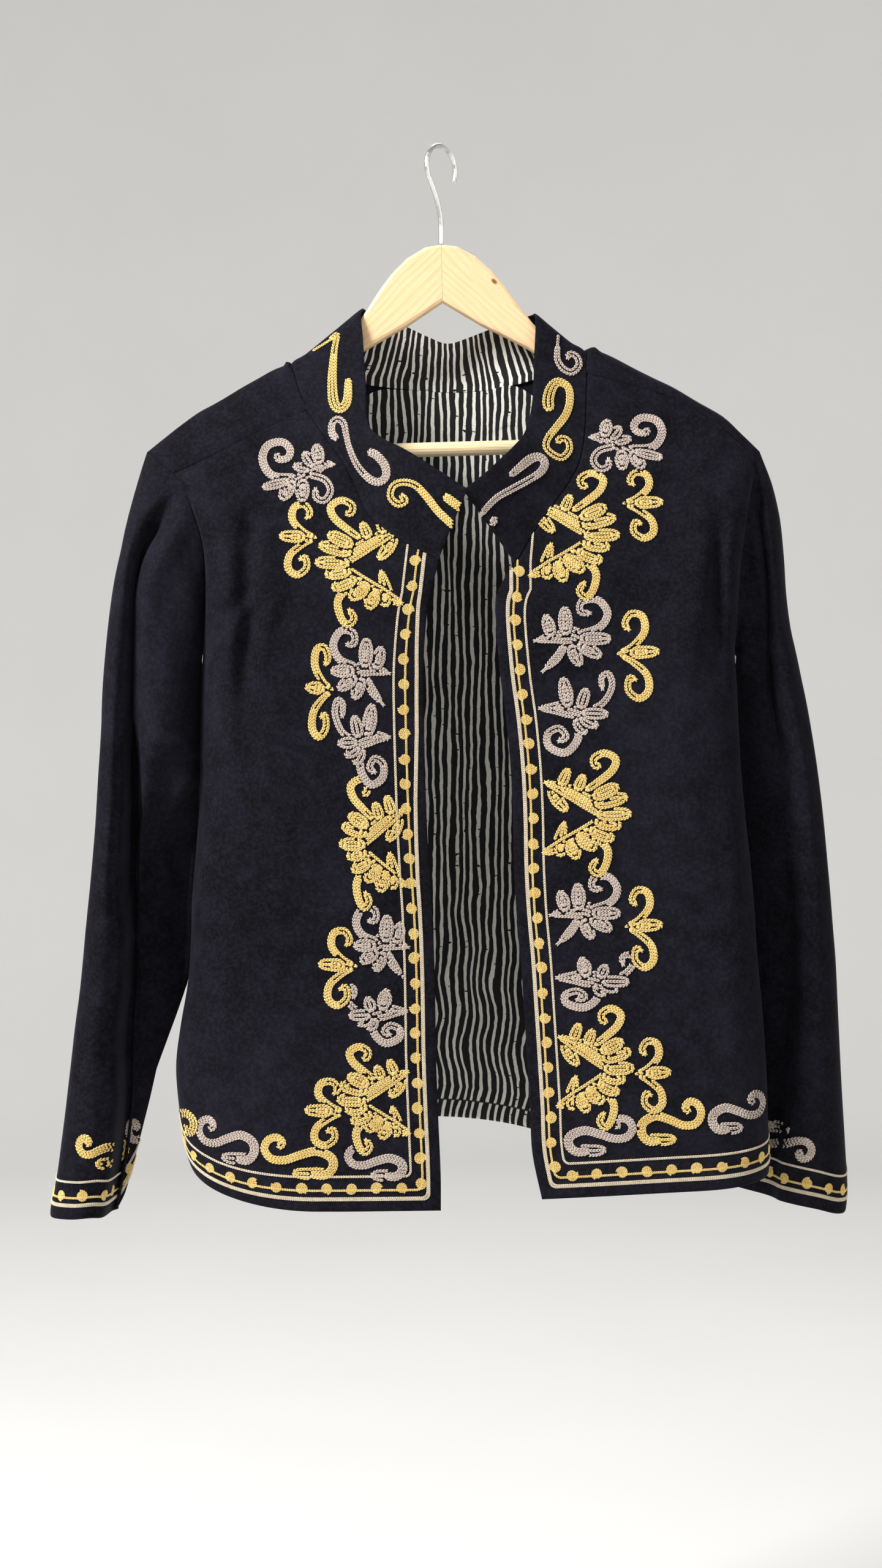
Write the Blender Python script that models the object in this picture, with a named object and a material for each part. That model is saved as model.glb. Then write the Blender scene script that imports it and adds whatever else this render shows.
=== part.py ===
"""An embroidered velvet jacket hanging open on a wooden hanger.

The frame: +Z up, +X to the right as the jacket faces the viewer, +Y away from the viewer.
The origin is the inner top of the hook, where a rail carries it. The tables are in millimetres.
Right and left are the wearer's: the right front is at -X.
"""

import math
from collections import namedtuple

import bmesh
import bpy
import numpy as np

MM = 0.001
WALL = 2.0  # velvet with the lining sewn into it
LINING_WALL = 1.0
SEAM_GAP = 0.3
COLLAR_GAP = 2.1  # the collar's own share, where it folds sharply over the hanger
SIDE_GAP = 0.45  # the back's share at the side seams and armholes
SLEEVE_GAP = 2.0  # a sleeve's share, where it gathers under the arm
LINING_GAP = 1.1  # the back lining hangs a little loose of the back

FRONT_COLUMNS = 16
LOWER_ROWS = 12  # from the hem to the underarm
UPPER_ROWS = 10  # from the underarm to the shoulder seam, on a front
BLADE_ROWS = 8  # from the underarm to the ridge of the shoulder, on the back
WRAP_ROWS = 3  # from that ridge forward to the shoulder seam
SEAM_COLUMNS = 8  # half a front's columns, so that the seam's points fall together
NECK_COLUMNS = 14
SLEEVE_RINGS = 24
COLLAR_ROWS = 4
LINING_ROWS = 16
LINING_REACH_STATIONS = [0, 5.6, 7, 9.4, 10.6, 16]  # how many of the back's rows the lining covers
LINING_REACH_ROWS = [15, 15.5, 23, 23, 15.5, 15]

HANGER_HALF = 5.0  # half the thickness of the wooden arms
HANGER_TILT = math.radians(1.6)  # the left arm hangs a little higher
CROWN_Z = -70.5
HOOK_WIRE = 3.8
BAR_Z = -220.7
BAR_RADIUS = 5.3
BAR_HALF = 188.7

# A front: a row for each level, from the hem to the shoulder seam.
FrontRow = namedtuple("FrontRow", "edge_x edge_y edge_z side_x side_y side_z belly_y turn lean")

RIGHT_FRONT = [
    FrontRow(0, -50, -771, -189, 2, -732, -54, 42, 0),
    FrontRow(0, -50, -750, -193, 2, -701, -54, 36, 0),
    FrontRow(-3, -48, -678, -193, 0, -656, -53, 32, 0),
    FrontRow(-4, -47, -625, -185, 0, -606, -52, 28, 0),
    FrontRow(-6, -46, -562, -183, 0, -552, -51, 26, 0.2),
    FrontRow(-9, -45, -516, -179, 0, -504, -50, 24, 0.5),
    FrontRow(-12, -43, -430, -177, 0, -430, -48, 24, 1),
    FrontRow(-10, -42, -344, -175, 0, -371, -46, 22, 1),
    FrontRow(-2, -42, -306, -172, -12, -335, -42, 16, 1),
    FrontRow(-29, -38, -291, -173, -20, -293, -37, 10, 1),
    FrontRow(-53, -34, -271, -180, -21, -269, -32, 8, 1),
    FrontRow(-66, -28, -241, -186, -20, -253, -26, 6, 1),
    FrontRow(-80, -23, -220, -191, -17, -245, -21, 4, 1),
    FrontRow(-98, -16, -194, -195, -14, -240, -17, 3, 1),
]
RIGHT_UNDERARM_ROW = 7
RIGHT_NECK_ROW = 8

LEFT_FRONT = [
    FrontRow(72, -50, -763, 240, -12, -747, -53, 20, 0.6),
    FrontRow(66, -50, -737, 239, -12, -722, -53, 18, 0.6),
    FrontRow(64, -49, -708, 238, -12, -690, -52, 17, 0.6),
    FrontRow(60, -48, -640, 234, -12, -628, -51, 16, 0.6),
    FrontRow(57, -47, -593, 230, -12, -585, -50, 16, 1),
    FrontRow(53, -46, -546, 227, -12, -540, -49, 16, 1),
    FrontRow(51, -45, -475, 220, -12, -470, -48, 16, 1),
    FrontRow(46, -44, -415, 217, -12, -420, -46, 14, 1),
    FrontRow(41, -44, -377, 216, -9, -390, -45, 14, 1),
    FrontRow(39, -43, -338, 215, -6, -372, -44, 14, 1),
    FrontRow(53, -42, -308, 216, -16, -340, -42, 12, 1),
    FrontRow(73, -36, -275, 218, -20, -305, -37, 9, 1),
    FrontRow(92, -29, -248, 222, -19, -277, -31, 7, 1),
    FrontRow(102, -22, -224, 226, -15, -253, -25, 5, 1),
    FrontRow(105, -14, -190, 229, -10, -239, -16, 4, 1),
    FrontRow(106, -9.5, -166, 231, -5, -228, -10, 3, 1),
]
LEFT_UNDERARM_ROW = 9
LEFT_NECK_ROW = 10

# Largest folds of the fronts: a crest is positive, a trough negative.
Fold = namedtuple("Fold", "top_x top_z bottom_x bottom_z width height")

RIGHT_FRONT_FOLDS = [
    Fold(-151, -262, -148, -500, 7, 4),
    Fold(-139, -262, -137, -480, 6, -6),
    Fold(-124, -300, -127, -420, 8, 2),
    Fold(-166, -480, -172, -700, 9, 3),
]
LEFT_FRONT_FOLDS = [
    Fold(207, -250, 209, -420, 5, 5),
    Fold(190, -250, 178, -400, 8, 3),
    Fold(199, -262, 194, -400, 6, -4),
    Fold(206, -420, 214, -690, 9, 3),
]

# The back below the underarm, by share of its width: the hem's height above its straight line.
BACK_HEM = [(-1.0, 0), (-0.6, 12), (-0.2, 21), (0.05, 19), (0.3, 3), (0.65, -1), (1.0, 0)]
BACK_DEPTH = [(0, 46), (4, 43), (8, 38), (12, 32)]  # by row
BACK_ROUND = 1.1  # how full the section is towards its sides
BACK_WAVES = 3
BACK_WAVE = 5.0

# The back from the underarm up and over the hanger: a row for each station across.
# Where the ridge is None the column ends at the neck seam behind the hanger.
Station = namedtuple("Station", "across ridge_x ridge_z top_x top_y top_z")

STATIONS = [
    Station(-1.00, -216, -223, -195, -14, -240),
    Station(-0.86, -183, -196, -169, -16, -229),
    Station(-0.72, -152, -179, -137, -17, -212),
    Station(-0.60, -128, -165, -98, -16, -194),
    Station(-0.54, -118, -159.5, -104, -11, -176),
    Station(-0.48, -111, -155.5, -109, -3, -158),
    Station(-0.36, None, None, -83, 17, -166),
    Station(-0.22, None, None, -45, 23, -172),
    Station(-0.06, None, None, 0, 27, -176),
    Station(0.10, None, None, 40, 26, -174),
    Station(0.24, None, None, 79, 19, -165),
    Station(0.38, 107, -142.5, 106, -2, -145),
    Station(0.46, 118, -150, 106, -9.5, -166),
    Station(0.60, 140, -160.5, 134, -10, -174),
    Station(0.74, 172, -176, 168, -10, -184),
    Station(0.88, 207, -197, 203, -9, -204),
    Station(1.00, 234, -223, 231, -5, -228),
]
RIGHT_SEAM_STATION = 3
LEFT_SEAM_STATION = 12
ARM_CLEAR = 9.5  # how far the cloth stands from the hanger's middle, where it lies on it

# A sleeve: a row for each ring, from the armhole to the cuff. Shares run from its outer to its
# inner edge: the crest, then the deep crease, then the forward part, which steps back to a flap.
Ring = namedtuple(
    "Ring",
    "out_x out_z in_x in_y in_z lean crease crest_y valley_y step fore_y flap_y back_y heel",
)

RIGHT_SLEEVE = [
    Ring(-216, -223, -175, 0, -371, 1, 0.20, -10, -12, 0.85, -18, -12, 16, 0),
    Ring(-225, -250, -177, 1, -384, 1, 0.20, -17, -9, 0.85, -24, -15, 20, 0),
    Ring(-232, -281, -179.5, 2, -398, 1, 0.21, -22, -3, 0.85, -28, -16, 23, 0),
    Ring(-240, -330, -181, 3, -418, 1, 0.27, -27, 2, 0.85, -30, -16, 26, 0),
    Ring(-245, -380, -182, 4, -440, 1, 0.31, -30, 4, 0.85, -31, -15, 28, 0),
    Ring(-248.5, -435, -182.5, 6, -470, 0.8, 0.34, -32, 5, 0.80, -28, -8, 29, 0),
    Ring(-252, -487, -183.5, 9, -505, 0.6, 0.37, -33, 6, 0.62, -16, 3, 30, 0),
    Ring(-257, -545, -188, 12, -552, 0.3, 0.42, -34, 7, 0.60, 1, 8, 31, 0),
    Ring(-262, -600, -193, 15, -600, 0.1, 0.50, -34, 8, 0.70, 6, 9, 31, 0),
    Ring(-269, -655, -205, 16, -653, 0, 0.59, -33, 8, 0.78, 8, 10, 30, 0),
    Ring(-275, -700, -214.5, 16, -695, 0, 0.72, -32, 8, 0.86, 9, 11, 29, 0),
    Ring(-282, -748, -224, 15, -733, 0, 0.78, -29, 8, 0.89, 9, 11, 27, 0),
    Ring(-288, -782, -231, 14, -757, 0, 0.80, -26, 7, 0.90, 8, 10, 26, 0),
]
LEFT_SLEEVE = [
    Ring(234, -223, 215, -6, -372, 1, 0.30, -10, -12, 0.80, -16, -12, 14, 0),
    Ring(243, -248, 218, 3, -385, 1, 0.34, -14, -8, 0.80, -16, -8, 22, 0),
    Ring(250, -280, 220, 7, -399, 1, 0.38, -16, -4, 0.80, -14, -4, 28, 0),
    Ring(254, -330, 221.5, 9, -420, 1, 0.42, -17, -3, 0.80, -12, 0, 33, 0),
    Ring(264, -382, 222, 12, -445, 1, 0.44, -17, -5, 0.80, -9, 2, 37, 0),
    Ring(274, -435, 222, 16, -478, 0.8, 0.42, -17, -8, 0.78, -6, 6, 41, 0),
    Ring(281, -487, 221, 20, -515, 0.6, 0.40, -16, -9, 0.74, -2, 10, 44, 0),
    Ring(287, -545, 219, 24, -560, 0.5, 0.38, -14, -8, 0.70, 2, 14, 46, 0),
    Ring(292, -600, 216, 27, -610, 0.5, 0.40, -12, -6, 0.70, 6, 17, 48, 0),
    Ring(295, -655, 213, 29, -660, 0.6, 0.44, -11, -2, 0.74, 9, 19, 50, 1),
    Ring(297, -705, 210, 31, -705, 0.8, 0.50, -10, 2, 0.78, 11, 21, 51, 3),
    Ring(299, -748, 207, 31, -740, 1, 0.55, -9, 4, 0.80, 13, 22, 51, 5),
    Ring(300, -783, 205, 31, -763, 1, 0.58, -8, 4, 0.80, 14, 22, 51, 6),
]
SLEEVE_SAMPLES = [0, 0.5, 1, 1.5, 2, 3, 4, 4.5, 5, 5.5, 6, 6.33, 6.67, 7, 7.375, 7.75, 8.125,
                  8.5, 8.875, 9.25, 9.625]
CREASE_HALF = 3.5  # half the width of the crease's mouth
HEEL_RISE = 18.0  # how far the back of the cuff rises where its heel shows

# The collar's upper edge, by share of the neck seam from the right front's end to the left's.
CollarRow = namedtuple("CollarRow", "share x y z")

COLLAR = [
    CollarRow(0.000, 18.5, -57, -257),
    CollarRow(0.051, -4, -49, -241),
    CollarRow(0.102, -22, -43, -229),
    CollarRow(0.157, -36, -37, -220.5),
    CollarRow(0.187, -46, -32, -215.5),
    CollarRow(0.203, -52.5, -29, -211),
    CollarRow(0.235, -53.5, -24, -192),
    CollarRow(0.265, -55, -18, -170),
    CollarRow(0.296, -57, -12.5, -142),
    CollarRow(0.313, -58.5, -9.4, -122),
    CollarRow(0.324, -59, 0, -115.5),
    CollarRow(0.338, -56, 11, -118),
    CollarRow(0.385, -40, 24, -120),
    CollarRow(0.441, -22, 34, -127),
    CollarRow(0.515, 2, 41, -138),
    CollarRow(0.580, 28, 36, -131),
    CollarRow(0.640, 48, 25, -123),
    CollarRow(0.688, 65, 11, -121),
    CollarRow(0.706, 69.5, 0, -119.5),
    CollarRow(0.725, 69.5, -9.4, -126),
    CollarRow(0.770, 68, -14, -153),
    CollarRow(0.835, 65.5, -26, -205),
    CollarRow(0.880, 52, -37, -224),
    CollarRow(0.935, 33, -46, -243),
    CollarRow(1.000, 16, -50, -257),
]
COLLAR_LINING_SHARES = (0.345, 0.685)

# Half of the hanger's outline: distance from its middle, and height.
ARM_TOP = [(-4, -70.5), (6, -71.2), (17, -75), (30, -84.5), (41.5, -97), (52.5, -112.5),
           (60, -123.5), (71, -136), (85, -152), (105, -167), (118, -170.5), (132, -175),
           (150, -182), (167, -191), (183, -199.5), (196, -207), (205, -214), (209, -221)]
ARM_END = [(210, -228), (206, -235), (198, -238), (189, -234)]
ARM_BELOW = [(189, -214), (178, -211), (160, -205), (132, -192.5), (110, -184), (90, -171),
             (68, -153), (55, -145), (37, -135.5), (25, -129), (8, -118), (-4, -110.5)]
ARM_ROUND = 2.5

COLOURS = {
    "velvet": ((0.012, 0.011, 0.018), 0.9, 0.0),
    "lining": ((0.20, 0.19, 0.17), 0.75, 0.0),
    "pine": ((0.76, 0.50, 0.26), 0.45, 0.0),
    "dowel": ((0.82, 0.66, 0.40), 0.5, 0.0),
    "steel": ((0.62, 0.62, 0.60), 0.3, 1.0),
}


def spline(knots, values, at):
    """A natural cubic through the values at the knots, read at the places in `at`."""
    knots = np.asarray(knots, float)
    values = np.asarray(values, float).reshape(len(knots), -1)
    at = np.asarray(at, float)
    step = np.diff(knots)
    matrix = np.eye(len(knots))
    right = np.zeros_like(values)
    for i in range(1, len(knots) - 1):
        matrix[i, i - 1 : i + 2] = step[i - 1], 2 * (step[i - 1] + step[i]), step[i]
        slopes = (values[i + 1] - values[i]) / step[i] - (values[i] - values[i - 1]) / step[i - 1]
        right[i] = 6 * slopes
    bend = np.linalg.solve(matrix, right)
    low = np.clip(np.searchsorted(knots, at, side="right") - 1, 0, len(knots) - 2)
    a = ((knots[low + 1] - at) / step[low])[:, None]
    b = 1 - a
    curve = (a**3 - a) * bend[low] + (b**3 - b) * bend[low + 1]
    return a * values[low] + b * values[low + 1] + curve * (step[low] ** 2)[:, None] / 6


def broken_spline(knots, values, at, corner):
    """A spline with a sharp corner at one of its knots."""
    knots = np.asarray(knots, float)
    values = np.asarray(values, float)
    at = np.asarray(at, float)
    low = at <= knots[corner]
    result = np.zeros((len(at), values.shape[1]))
    result[low] = spline(knots[: corner + 1], values[: corner + 1], at[low])
    result[~low] = spline(knots[corner:], values[corner:], at[~low])
    return result


def chord_knots(points):
    """The running length along the points."""
    lengths = np.linalg.norm(np.diff(points, axis=0), axis=1)
    return np.concatenate([[0], np.cumsum(np.maximum(lengths, 1e-6))])


def through(points, shares):
    """Points at these shares of a smooth curve's length through the given points."""
    knots = chord_knots(points)
    return spline(knots, points, np.asarray(shares) * knots[-1])


def unit(vectors):
    return vectors / np.maximum(np.linalg.norm(vectors, axis=-1, keepdims=True), 1e-9)


class Panel:
    """A piece of cloth: a grid of outer points, and its outward normals."""

    def __init__(self, name, points, outward, ring=False, wall=WALL):
        self.name = name
        self.points = points
        self.ring = ring
        self.wall = wall
        along = np.gradient(points, axis=0)
        if ring:
            padded = np.concatenate([points[:, -1:], points, points[:, :1]], axis=1)
            across = np.gradient(padded, axis=1)[:, 1:-1]
        else:
            across = np.gradient(points, axis=1)
        self.normals = unit(np.cross(across, along)) * outward
        self.outward = outward

    def trim(self, rows=(), columns=(), by=SEAM_GAP / 2):
        """Draws an edge back from its seam: 0 is the first row or column, -1 the last."""
        for row in rows:
            inner = 1 if row == 0 else -2
            step = self.points[inner] - self.points[row]
            self.points[row] = self.points[row] + unit(step) * by
        for column in columns:
            inner = 1 if column == 0 else -2
            step = self.points[:, inner] - self.points[:, column]
            self.points[:, column] = self.points[:, column] + unit(step) * by

    def build(self, material, collection):
        rows, columns = self.points.shape[:2]
        inner = self.points - self.normals * self.wall
        points = np.concatenate([self.points.reshape(-1, 3), inner.reshape(-1, 3)]) * MM
        count = rows * columns
        spans = columns if self.ring else columns - 1
        faces = []

        def quad(a, b, c, d):
            for corners in ((a, b, c), (a, c, d)):
                faces.append(corners if self.outward > 0 else corners[::-1])

        def index(i, j, skin=0):
            return i * columns + j % columns + skin * count

        for i in range(rows - 1):
            for j in range(spans):
                quad(index(i, j), index(i, j + 1), index(i + 1, j + 1), index(i + 1, j))
                quad(index(i + 1, j + 1, 1), index(i, j + 1, 1), index(i, j, 1), index(i + 1, j, 1))
        for j in range(spans):
            quad(index(0, j, 1), index(0, j + 1, 1), index(0, j + 1), index(0, j))
            last = rows - 1
            quad(index(last, j), index(last, j + 1), index(last, j + 1, 1), index(last, j, 1))
        if not self.ring:
            for i in range(rows - 1):
                quad(index(i, 0), index(i + 1, 0), index(i + 1, 0, 1), index(i, 0, 1))
                last = columns - 1
                quad(index(i, last, 1), index(i + 1, last, 1), index(i + 1, last), index(i, last))
        mesh = bpy.data.meshes.new(self.name)
        mesh.from_pydata(points.tolist(), [], faces)
        mesh.shade_smooth()
        mesh.set_sharp_from_angle(angle=math.radians(50))
        mesh.materials.append(material)
        collection.objects.link(bpy.data.objects.new(self.name, mesh))


def fold_heights(folds, x, z):
    """How far the folds push the cloth forward at each place."""
    total = np.zeros_like(x)
    for fold in folds:
        share = np.clip((fold.top_z - z) / (fold.top_z - fold.bottom_z), 0, 1)
        middle = fold.top_x + (fold.bottom_x - fold.top_x) * share
        total += fold.height * np.sin(np.pi * share) ** 0.6 * np.exp(-(((x - middle) / fold.width) ** 2))
    return total


def front_grid(table, underarm, neck, folds):
    """A front's outer points: rows from the hem up, columns from the front edge to the side."""
    rows = np.array(table, float)
    edge = rows[:, 0:3]
    side = rows[:, 3:6]
    knots = (chord_knots(edge) + chord_knots(side)) / 2
    lower = np.linspace(0, knots[underarm], LOWER_ROWS + 1)
    short = np.linspace(knots[underarm], knots[neck], 3)
    upper = np.linspace(knots[neck], knots[-1], UPPER_ROWS - 1)
    levels = np.concatenate([lower, short[1:], upper[1:]])
    edges = broken_spline(knots, edge, levels, neck)
    sides = broken_spline(knots, side, levels, underarm)
    shape = spline(knots, rows[:, 6:9], levels)
    grid = np.zeros((len(levels), FRONT_COLUMNS + 1, 3))
    for i, (belly_y, turn, lean) in enumerate(shape):
        start, end = edges[i], sides[i]
        sign = math.copysign(1, end[0] - start[0])
        turn_x = end[0] - sign * turn
        flat = turn_x - start[0]
        drop = end[1] - belly_y
        controls = np.array([
            (start[0], start[1]),
            (start[0] + 0.3 * flat, start[1] + 0.75 * (belly_y - start[1])),
            (start[0] + 0.65 * flat, belly_y),
            (turn_x, belly_y + 0.18 * drop),
            (end[0] - sign * 0.22 * turn, belly_y + 0.58 * drop),
            (end[0], end[1]),
        ])
        section = through(controls, np.linspace(0, 1, FRONT_COLUMNS + 1))
        returned = np.clip((section[:, 1] - belly_y) / max(drop, 1.0), 0, 1)
        returned[: FRONT_COLUMNS // 2] = 0
        across = (section[:, 0] - start[0]) / (end[0] - start[0])
        share = (1 - lean) * returned + lean * across
        grid[i, :, 0] = section[:, 0]
        grid[i, :, 1] = section[:, 1]
        grid[i, :, 2] = start[2] + (end[2] - start[2]) * share
    u = np.linspace(0, 1, FRONT_COLUMNS + 1)[None, :]
    v = np.linspace(0, 1, len(levels))[:, None]
    fade = np.clip(u / 0.15, 0, 1) * np.clip((1 - u) / 0.1, 0, 1) * np.clip((1 - v) / 0.12, 0, 1)
    grid[:, :, 1] -= fold_heights(folds, grid[:, :, 0], grid[:, :, 2]) * fade
    return grid


def column_places():
    """The stations that the back's columns stand at: whole numbers are the table's rows."""
    right = np.linspace(0, RIGHT_SEAM_STATION, SEAM_COLUMNS + 1)
    neck = np.linspace(RIGHT_SEAM_STATION, LEFT_SEAM_STATION, NECK_COLUMNS + 1)
    left = np.linspace(LEFT_SEAM_STATION, len(STATIONS) - 1, SEAM_COLUMNS + 1)
    return np.concatenate([right, neck[1:], left[1:]])


def top_controls(station, base):
    """A station's points above the underarm: blade, before, on and after the ridge, and top."""
    top = np.array([station.top_x, station.top_y, station.top_z], float)
    if station.ridge_x is None:
        blade = np.array([base[0] + (top[0] - base[0]) * 0.7, (base[1] + top[1]) / 2, top[2] - 50])
        return [blade] + [blade + (top - blade) * share for share in (0.45, 0.66, 0.84)] + [top]
    ridge = np.array([station.ridge_x, 0, station.ridge_z], float)
    blade = np.array([base[0] + (ridge[0] - base[0]) * 0.6, 18, ridge[2] - 50])
    before = ridge + (0, ARM_CLEAR, -7)
    after = ridge + (top - ridge) * 0.4
    after[1] = max(-ARM_CLEAR, top[1] * 0.85)
    return [blade, before, ridge, after, top]


def back_grid(right_side, left_side):
    """The back's outer points: rows from the hem over the shoulders, columns from right to left."""
    across = np.array([s.across for s in STATIONS])
    places = column_places()
    stations = np.arange(len(STATIONS))
    w = np.interp(places, stations, across)
    rows = LOWER_ROWS + BLADE_ROWS + WRAP_ROWS + 1
    depth = spline(*zip(*BACK_DEPTH), np.arange(LOWER_ROWS + 1))[:, 0]
    hem = spline(*zip(*BACK_HEM), w)[:, 0]
    grid = np.zeros((rows, len(places), 3))

    def section(i, where, rise):
        right, left = right_side[i], left_side[i]
        angle = where * math.pi / 2
        ends = (1 + np.sin(angle)) / 2
        level = 1 - i / LOWER_ROWS
        side_y = right[1] + (left[1] - right[1]) * ends
        full = np.abs(np.cos(angle)) ** BACK_ROUND
        wave = BACK_WAVE * level * np.sin(where * BACK_WAVES * math.pi + 0.6) * full
        x = right[0] + (left[0] - right[0]) * ends
        y = side_y + (depth[i] - side_y) * full + wave
        z = right[2] + (left[2] - right[2]) * ends + rise * level
        return np.stack([x, y, z], axis=-1)

    for i in range(LOWER_ROWS + 1):
        grid[i] = section(i, w, hem)
    lower = (LOWER_ROWS - 6, LOWER_ROWS - 3, LOWER_ROWS)
    knots = list(lower) + [LOWER_ROWS + k for k in (4, 7, 8, 9.4, 11)]
    controls = np.zeros((len(STATIONS), len(knots), 3))
    for k, station in enumerate(STATIONS):
        bases = [section(i, np.array([station.across]), np.zeros(1))[0] for i in lower]
        controls[k] = bases + top_controls(station, bases[-1])
    levels = np.arange(LOWER_ROWS + 1, rows)
    for j, place in enumerate(places):
        low = min(int(place), len(STATIONS) - 2)
        column = controls[low] + (controls[low + 1] - controls[low]) * (place - low)
        column[:3] = grid[list(lower), j]
        grid[levels, j] = spline(knots, column, levels)
    return grid


def ring_points(row):
    """One ring of a sleeve: out, crest, crease, forward part, step, inner edge, then the back."""
    width = math.dist((row.out_x, row.out_z), (row.in_x, row.in_z))
    mouth = CREASE_HALF / width
    shape = [
        (0.0, (row.crest_y * 0.2 + row.back_y * 0.3)),
        (row.crease * 0.45, row.crest_y),
        (row.crease - mouth, row.crest_y + 0.25 * (row.valley_y - row.crest_y)),
        (row.crease, row.valley_y),
        (row.crease + mouth, row.valley_y + 0.6 * (row.fore_y - row.valley_y)),
        ((row.crease + row.step) / 2, row.fore_y),
        (row.step, (row.fore_y + row.flap_y) / 2),
        (1.0, row.in_y),
        (0.76, row.back_y),
        (0.24, row.back_y),
    ]
    points = []
    side = math.copysign(1, row.out_x)
    for k, (share, y) in enumerate(shape):
        late = max(0.0, (share - row.crease) / (1 - row.crease)) ** 2
        rise = row.lean * share + (1 - row.lean) * late
        x = row.out_x + (row.in_x - row.out_x) * share
        z = row.out_z + (row.in_z - row.out_z) * rise
        if k == len(shape) - 1:
            x += side * row.heel * 2.6
            z += HEEL_RISE * min(1, row.heel / 5)
        points.append((x, y, z))
    return np.array(points)


def closed_curve(points, samples):
    """A smooth closed curve through the points, read at places counted in points."""
    count = len(points)
    wrapped = np.concatenate([points[-3:], points, points[:4]])
    knots = chord_knots(wrapped)
    places = np.interp(np.asarray(samples) + 3, np.arange(count + 7), knots)
    return spline(knots, wrapped, places)


def sleeve_grid(table, armhole):
    """A sleeve's outer points: rings from the armhole down."""
    rings = np.array([closed_curve(ring_points(row), SLEEVE_SAMPLES) for row in table])
    middle = rings.mean(axis=1)
    knots = chord_knots(middle)
    levels = np.linspace(0, knots[-1], SLEEVE_RINGS + 1)
    flat = spline(knots, rings.reshape(len(table), -1), levels)
    grid = flat.reshape(len(levels), len(SLEEVE_SAMPLES), 3)
    reach = np.array([1, 0.45, 0.12])[:, None, None]
    grid[:3] += (armhole - grid[0])[None] * reach
    return grid


def collar_grid(neckline):
    """The collar's outer points: columns at the neck seam's points, rows from it to the top."""
    shares = chord_knots(neckline) / chord_knots(neckline)[-1]
    table = np.array(COLLAR, float)
    upper = np.array([np.interp(shares, table[:, 0], table[:, k]) for k in (1, 2, 3)]).T
    rows = np.linspace(0, 1, COLLAR_ROWS + 1)[:, None, None]
    return neckline[None] + (upper - neckline)[None] * rows, shares


def make_material(name):
    colour, roughness, metallic = COLOURS[name]
    material = bpy.data.materials.new(name)
    material.use_nodes = True
    shader = material.node_tree.nodes["Principled BSDF"]
    shader.inputs["Base Color"].default_value = (*colour, 1)
    shader.inputs["Roughness"].default_value = roughness
    shader.inputs["Metallic"].default_value = metallic
    material.diffuse_color = (*colour, 1)
    return material


def tilted(distance, height):
    """A point of the hanger's plane, turned about its crown."""
    x = distance * math.cos(HANGER_TILT) - (height - CROWN_Z) * math.sin(HANGER_TILT)
    z = CROWN_Z + distance * math.sin(HANGER_TILT) + (height - CROWN_Z) * math.cos(HANGER_TILT)
    return x * MM, z * MM


def build_arm(name, side, material, collection):
    """Half of the hanger: a flat outline with rounded edges, cut square at the mitre."""
    top = through(np.array(ARM_TOP, float), np.linspace(0, 1, 18))
    below = through(np.array(ARM_BELOW[1:], float), np.linspace(0, 1, 12))
    outline = [*top, *np.array(ARM_END, float), np.array(ARM_BELOW[0], float), *below]
    curve = bpy.data.curves.new(name + "_outline", "CURVE")
    curve.dimensions = "2D"
    curve.fill_mode = "BOTH"
    curve.extrude = (HANGER_HALF - ARM_ROUND) * MM
    curve.bevel_depth = ARM_ROUND * MM
    curve.bevel_resolution = 1
    curve.offset = -ARM_ROUND * MM
    line = curve.splines.new("POLY")
    line.points.add(len(outline) - 1)
    for point, (distance, height) in zip(line.points, outline):
        x, z = tilted(side * distance, height)
        point.co = (x, z, 0, 1)
    line.use_cyclic_u = True
    drawn = bpy.data.objects.new(name + "_outline", curve)
    drawn.rotation_euler.x = math.pi / 2
    collection.objects.link(drawn)
    bpy.context.view_layer.update()
    evaluated = drawn.evaluated_get(bpy.context.evaluated_depsgraph_get())
    mesh = bpy.data.meshes.new_from_object(evaluated)
    mesh.name = name
    mesh.transform(drawn.matrix_world)
    bpy.data.objects.remove(drawn)
    shape = bmesh.new()
    shape.from_mesh(mesh)
    bmesh.ops.remove_doubles(shape, verts=shape.verts, dist=0.00001)
    lean = (math.cos(HANGER_TILT) * side, 0, math.sin(HANGER_TILT) * side)
    start = (SEAM_GAP / 2 * MM * lean[0], 0, CROWN_Z * MM)
    cut = bmesh.ops.bisect_plane(
        shape, geom=shape.verts[:] + shape.edges[:] + shape.faces[:], plane_co=start,
        plane_no=lean, clear_inner=True,
    )
    rim = [item for item in cut["geom_cut"] if isinstance(item, bmesh.types.BMEdge)]
    bmesh.ops.contextual_create(shape, geom=rim)
    bmesh.ops.recalc_face_normals(shape, faces=shape.faces)
    shape.to_mesh(mesh)
    shape.free()
    mesh.materials.clear()
    mesh.materials.append(material)
    collection.objects.link(bpy.data.objects.new(name, mesh))


def build_bar(material, collection):
    """The dowel between the two arms."""
    bpy.ops.mesh.primitive_cylinder_add(
        vertices=16, radius=BAR_RADIUS * MM, depth=2 * BAR_HALF * MM, end_fill_type="NGON"
    )
    bar = bpy.context.object
    bar.name = bar.data.name = "hanger_bar"
    x, z = tilted(0, BAR_Z)
    bar.location = (x, 0, z)
    bar.rotation_euler = (0, math.pi / 2 - HANGER_TILT, 0)
    bar.data.materials.append(material)
    for other in bar.users_collection:
        other.objects.unlink(bar)
    collection.objects.link(bar)


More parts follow.
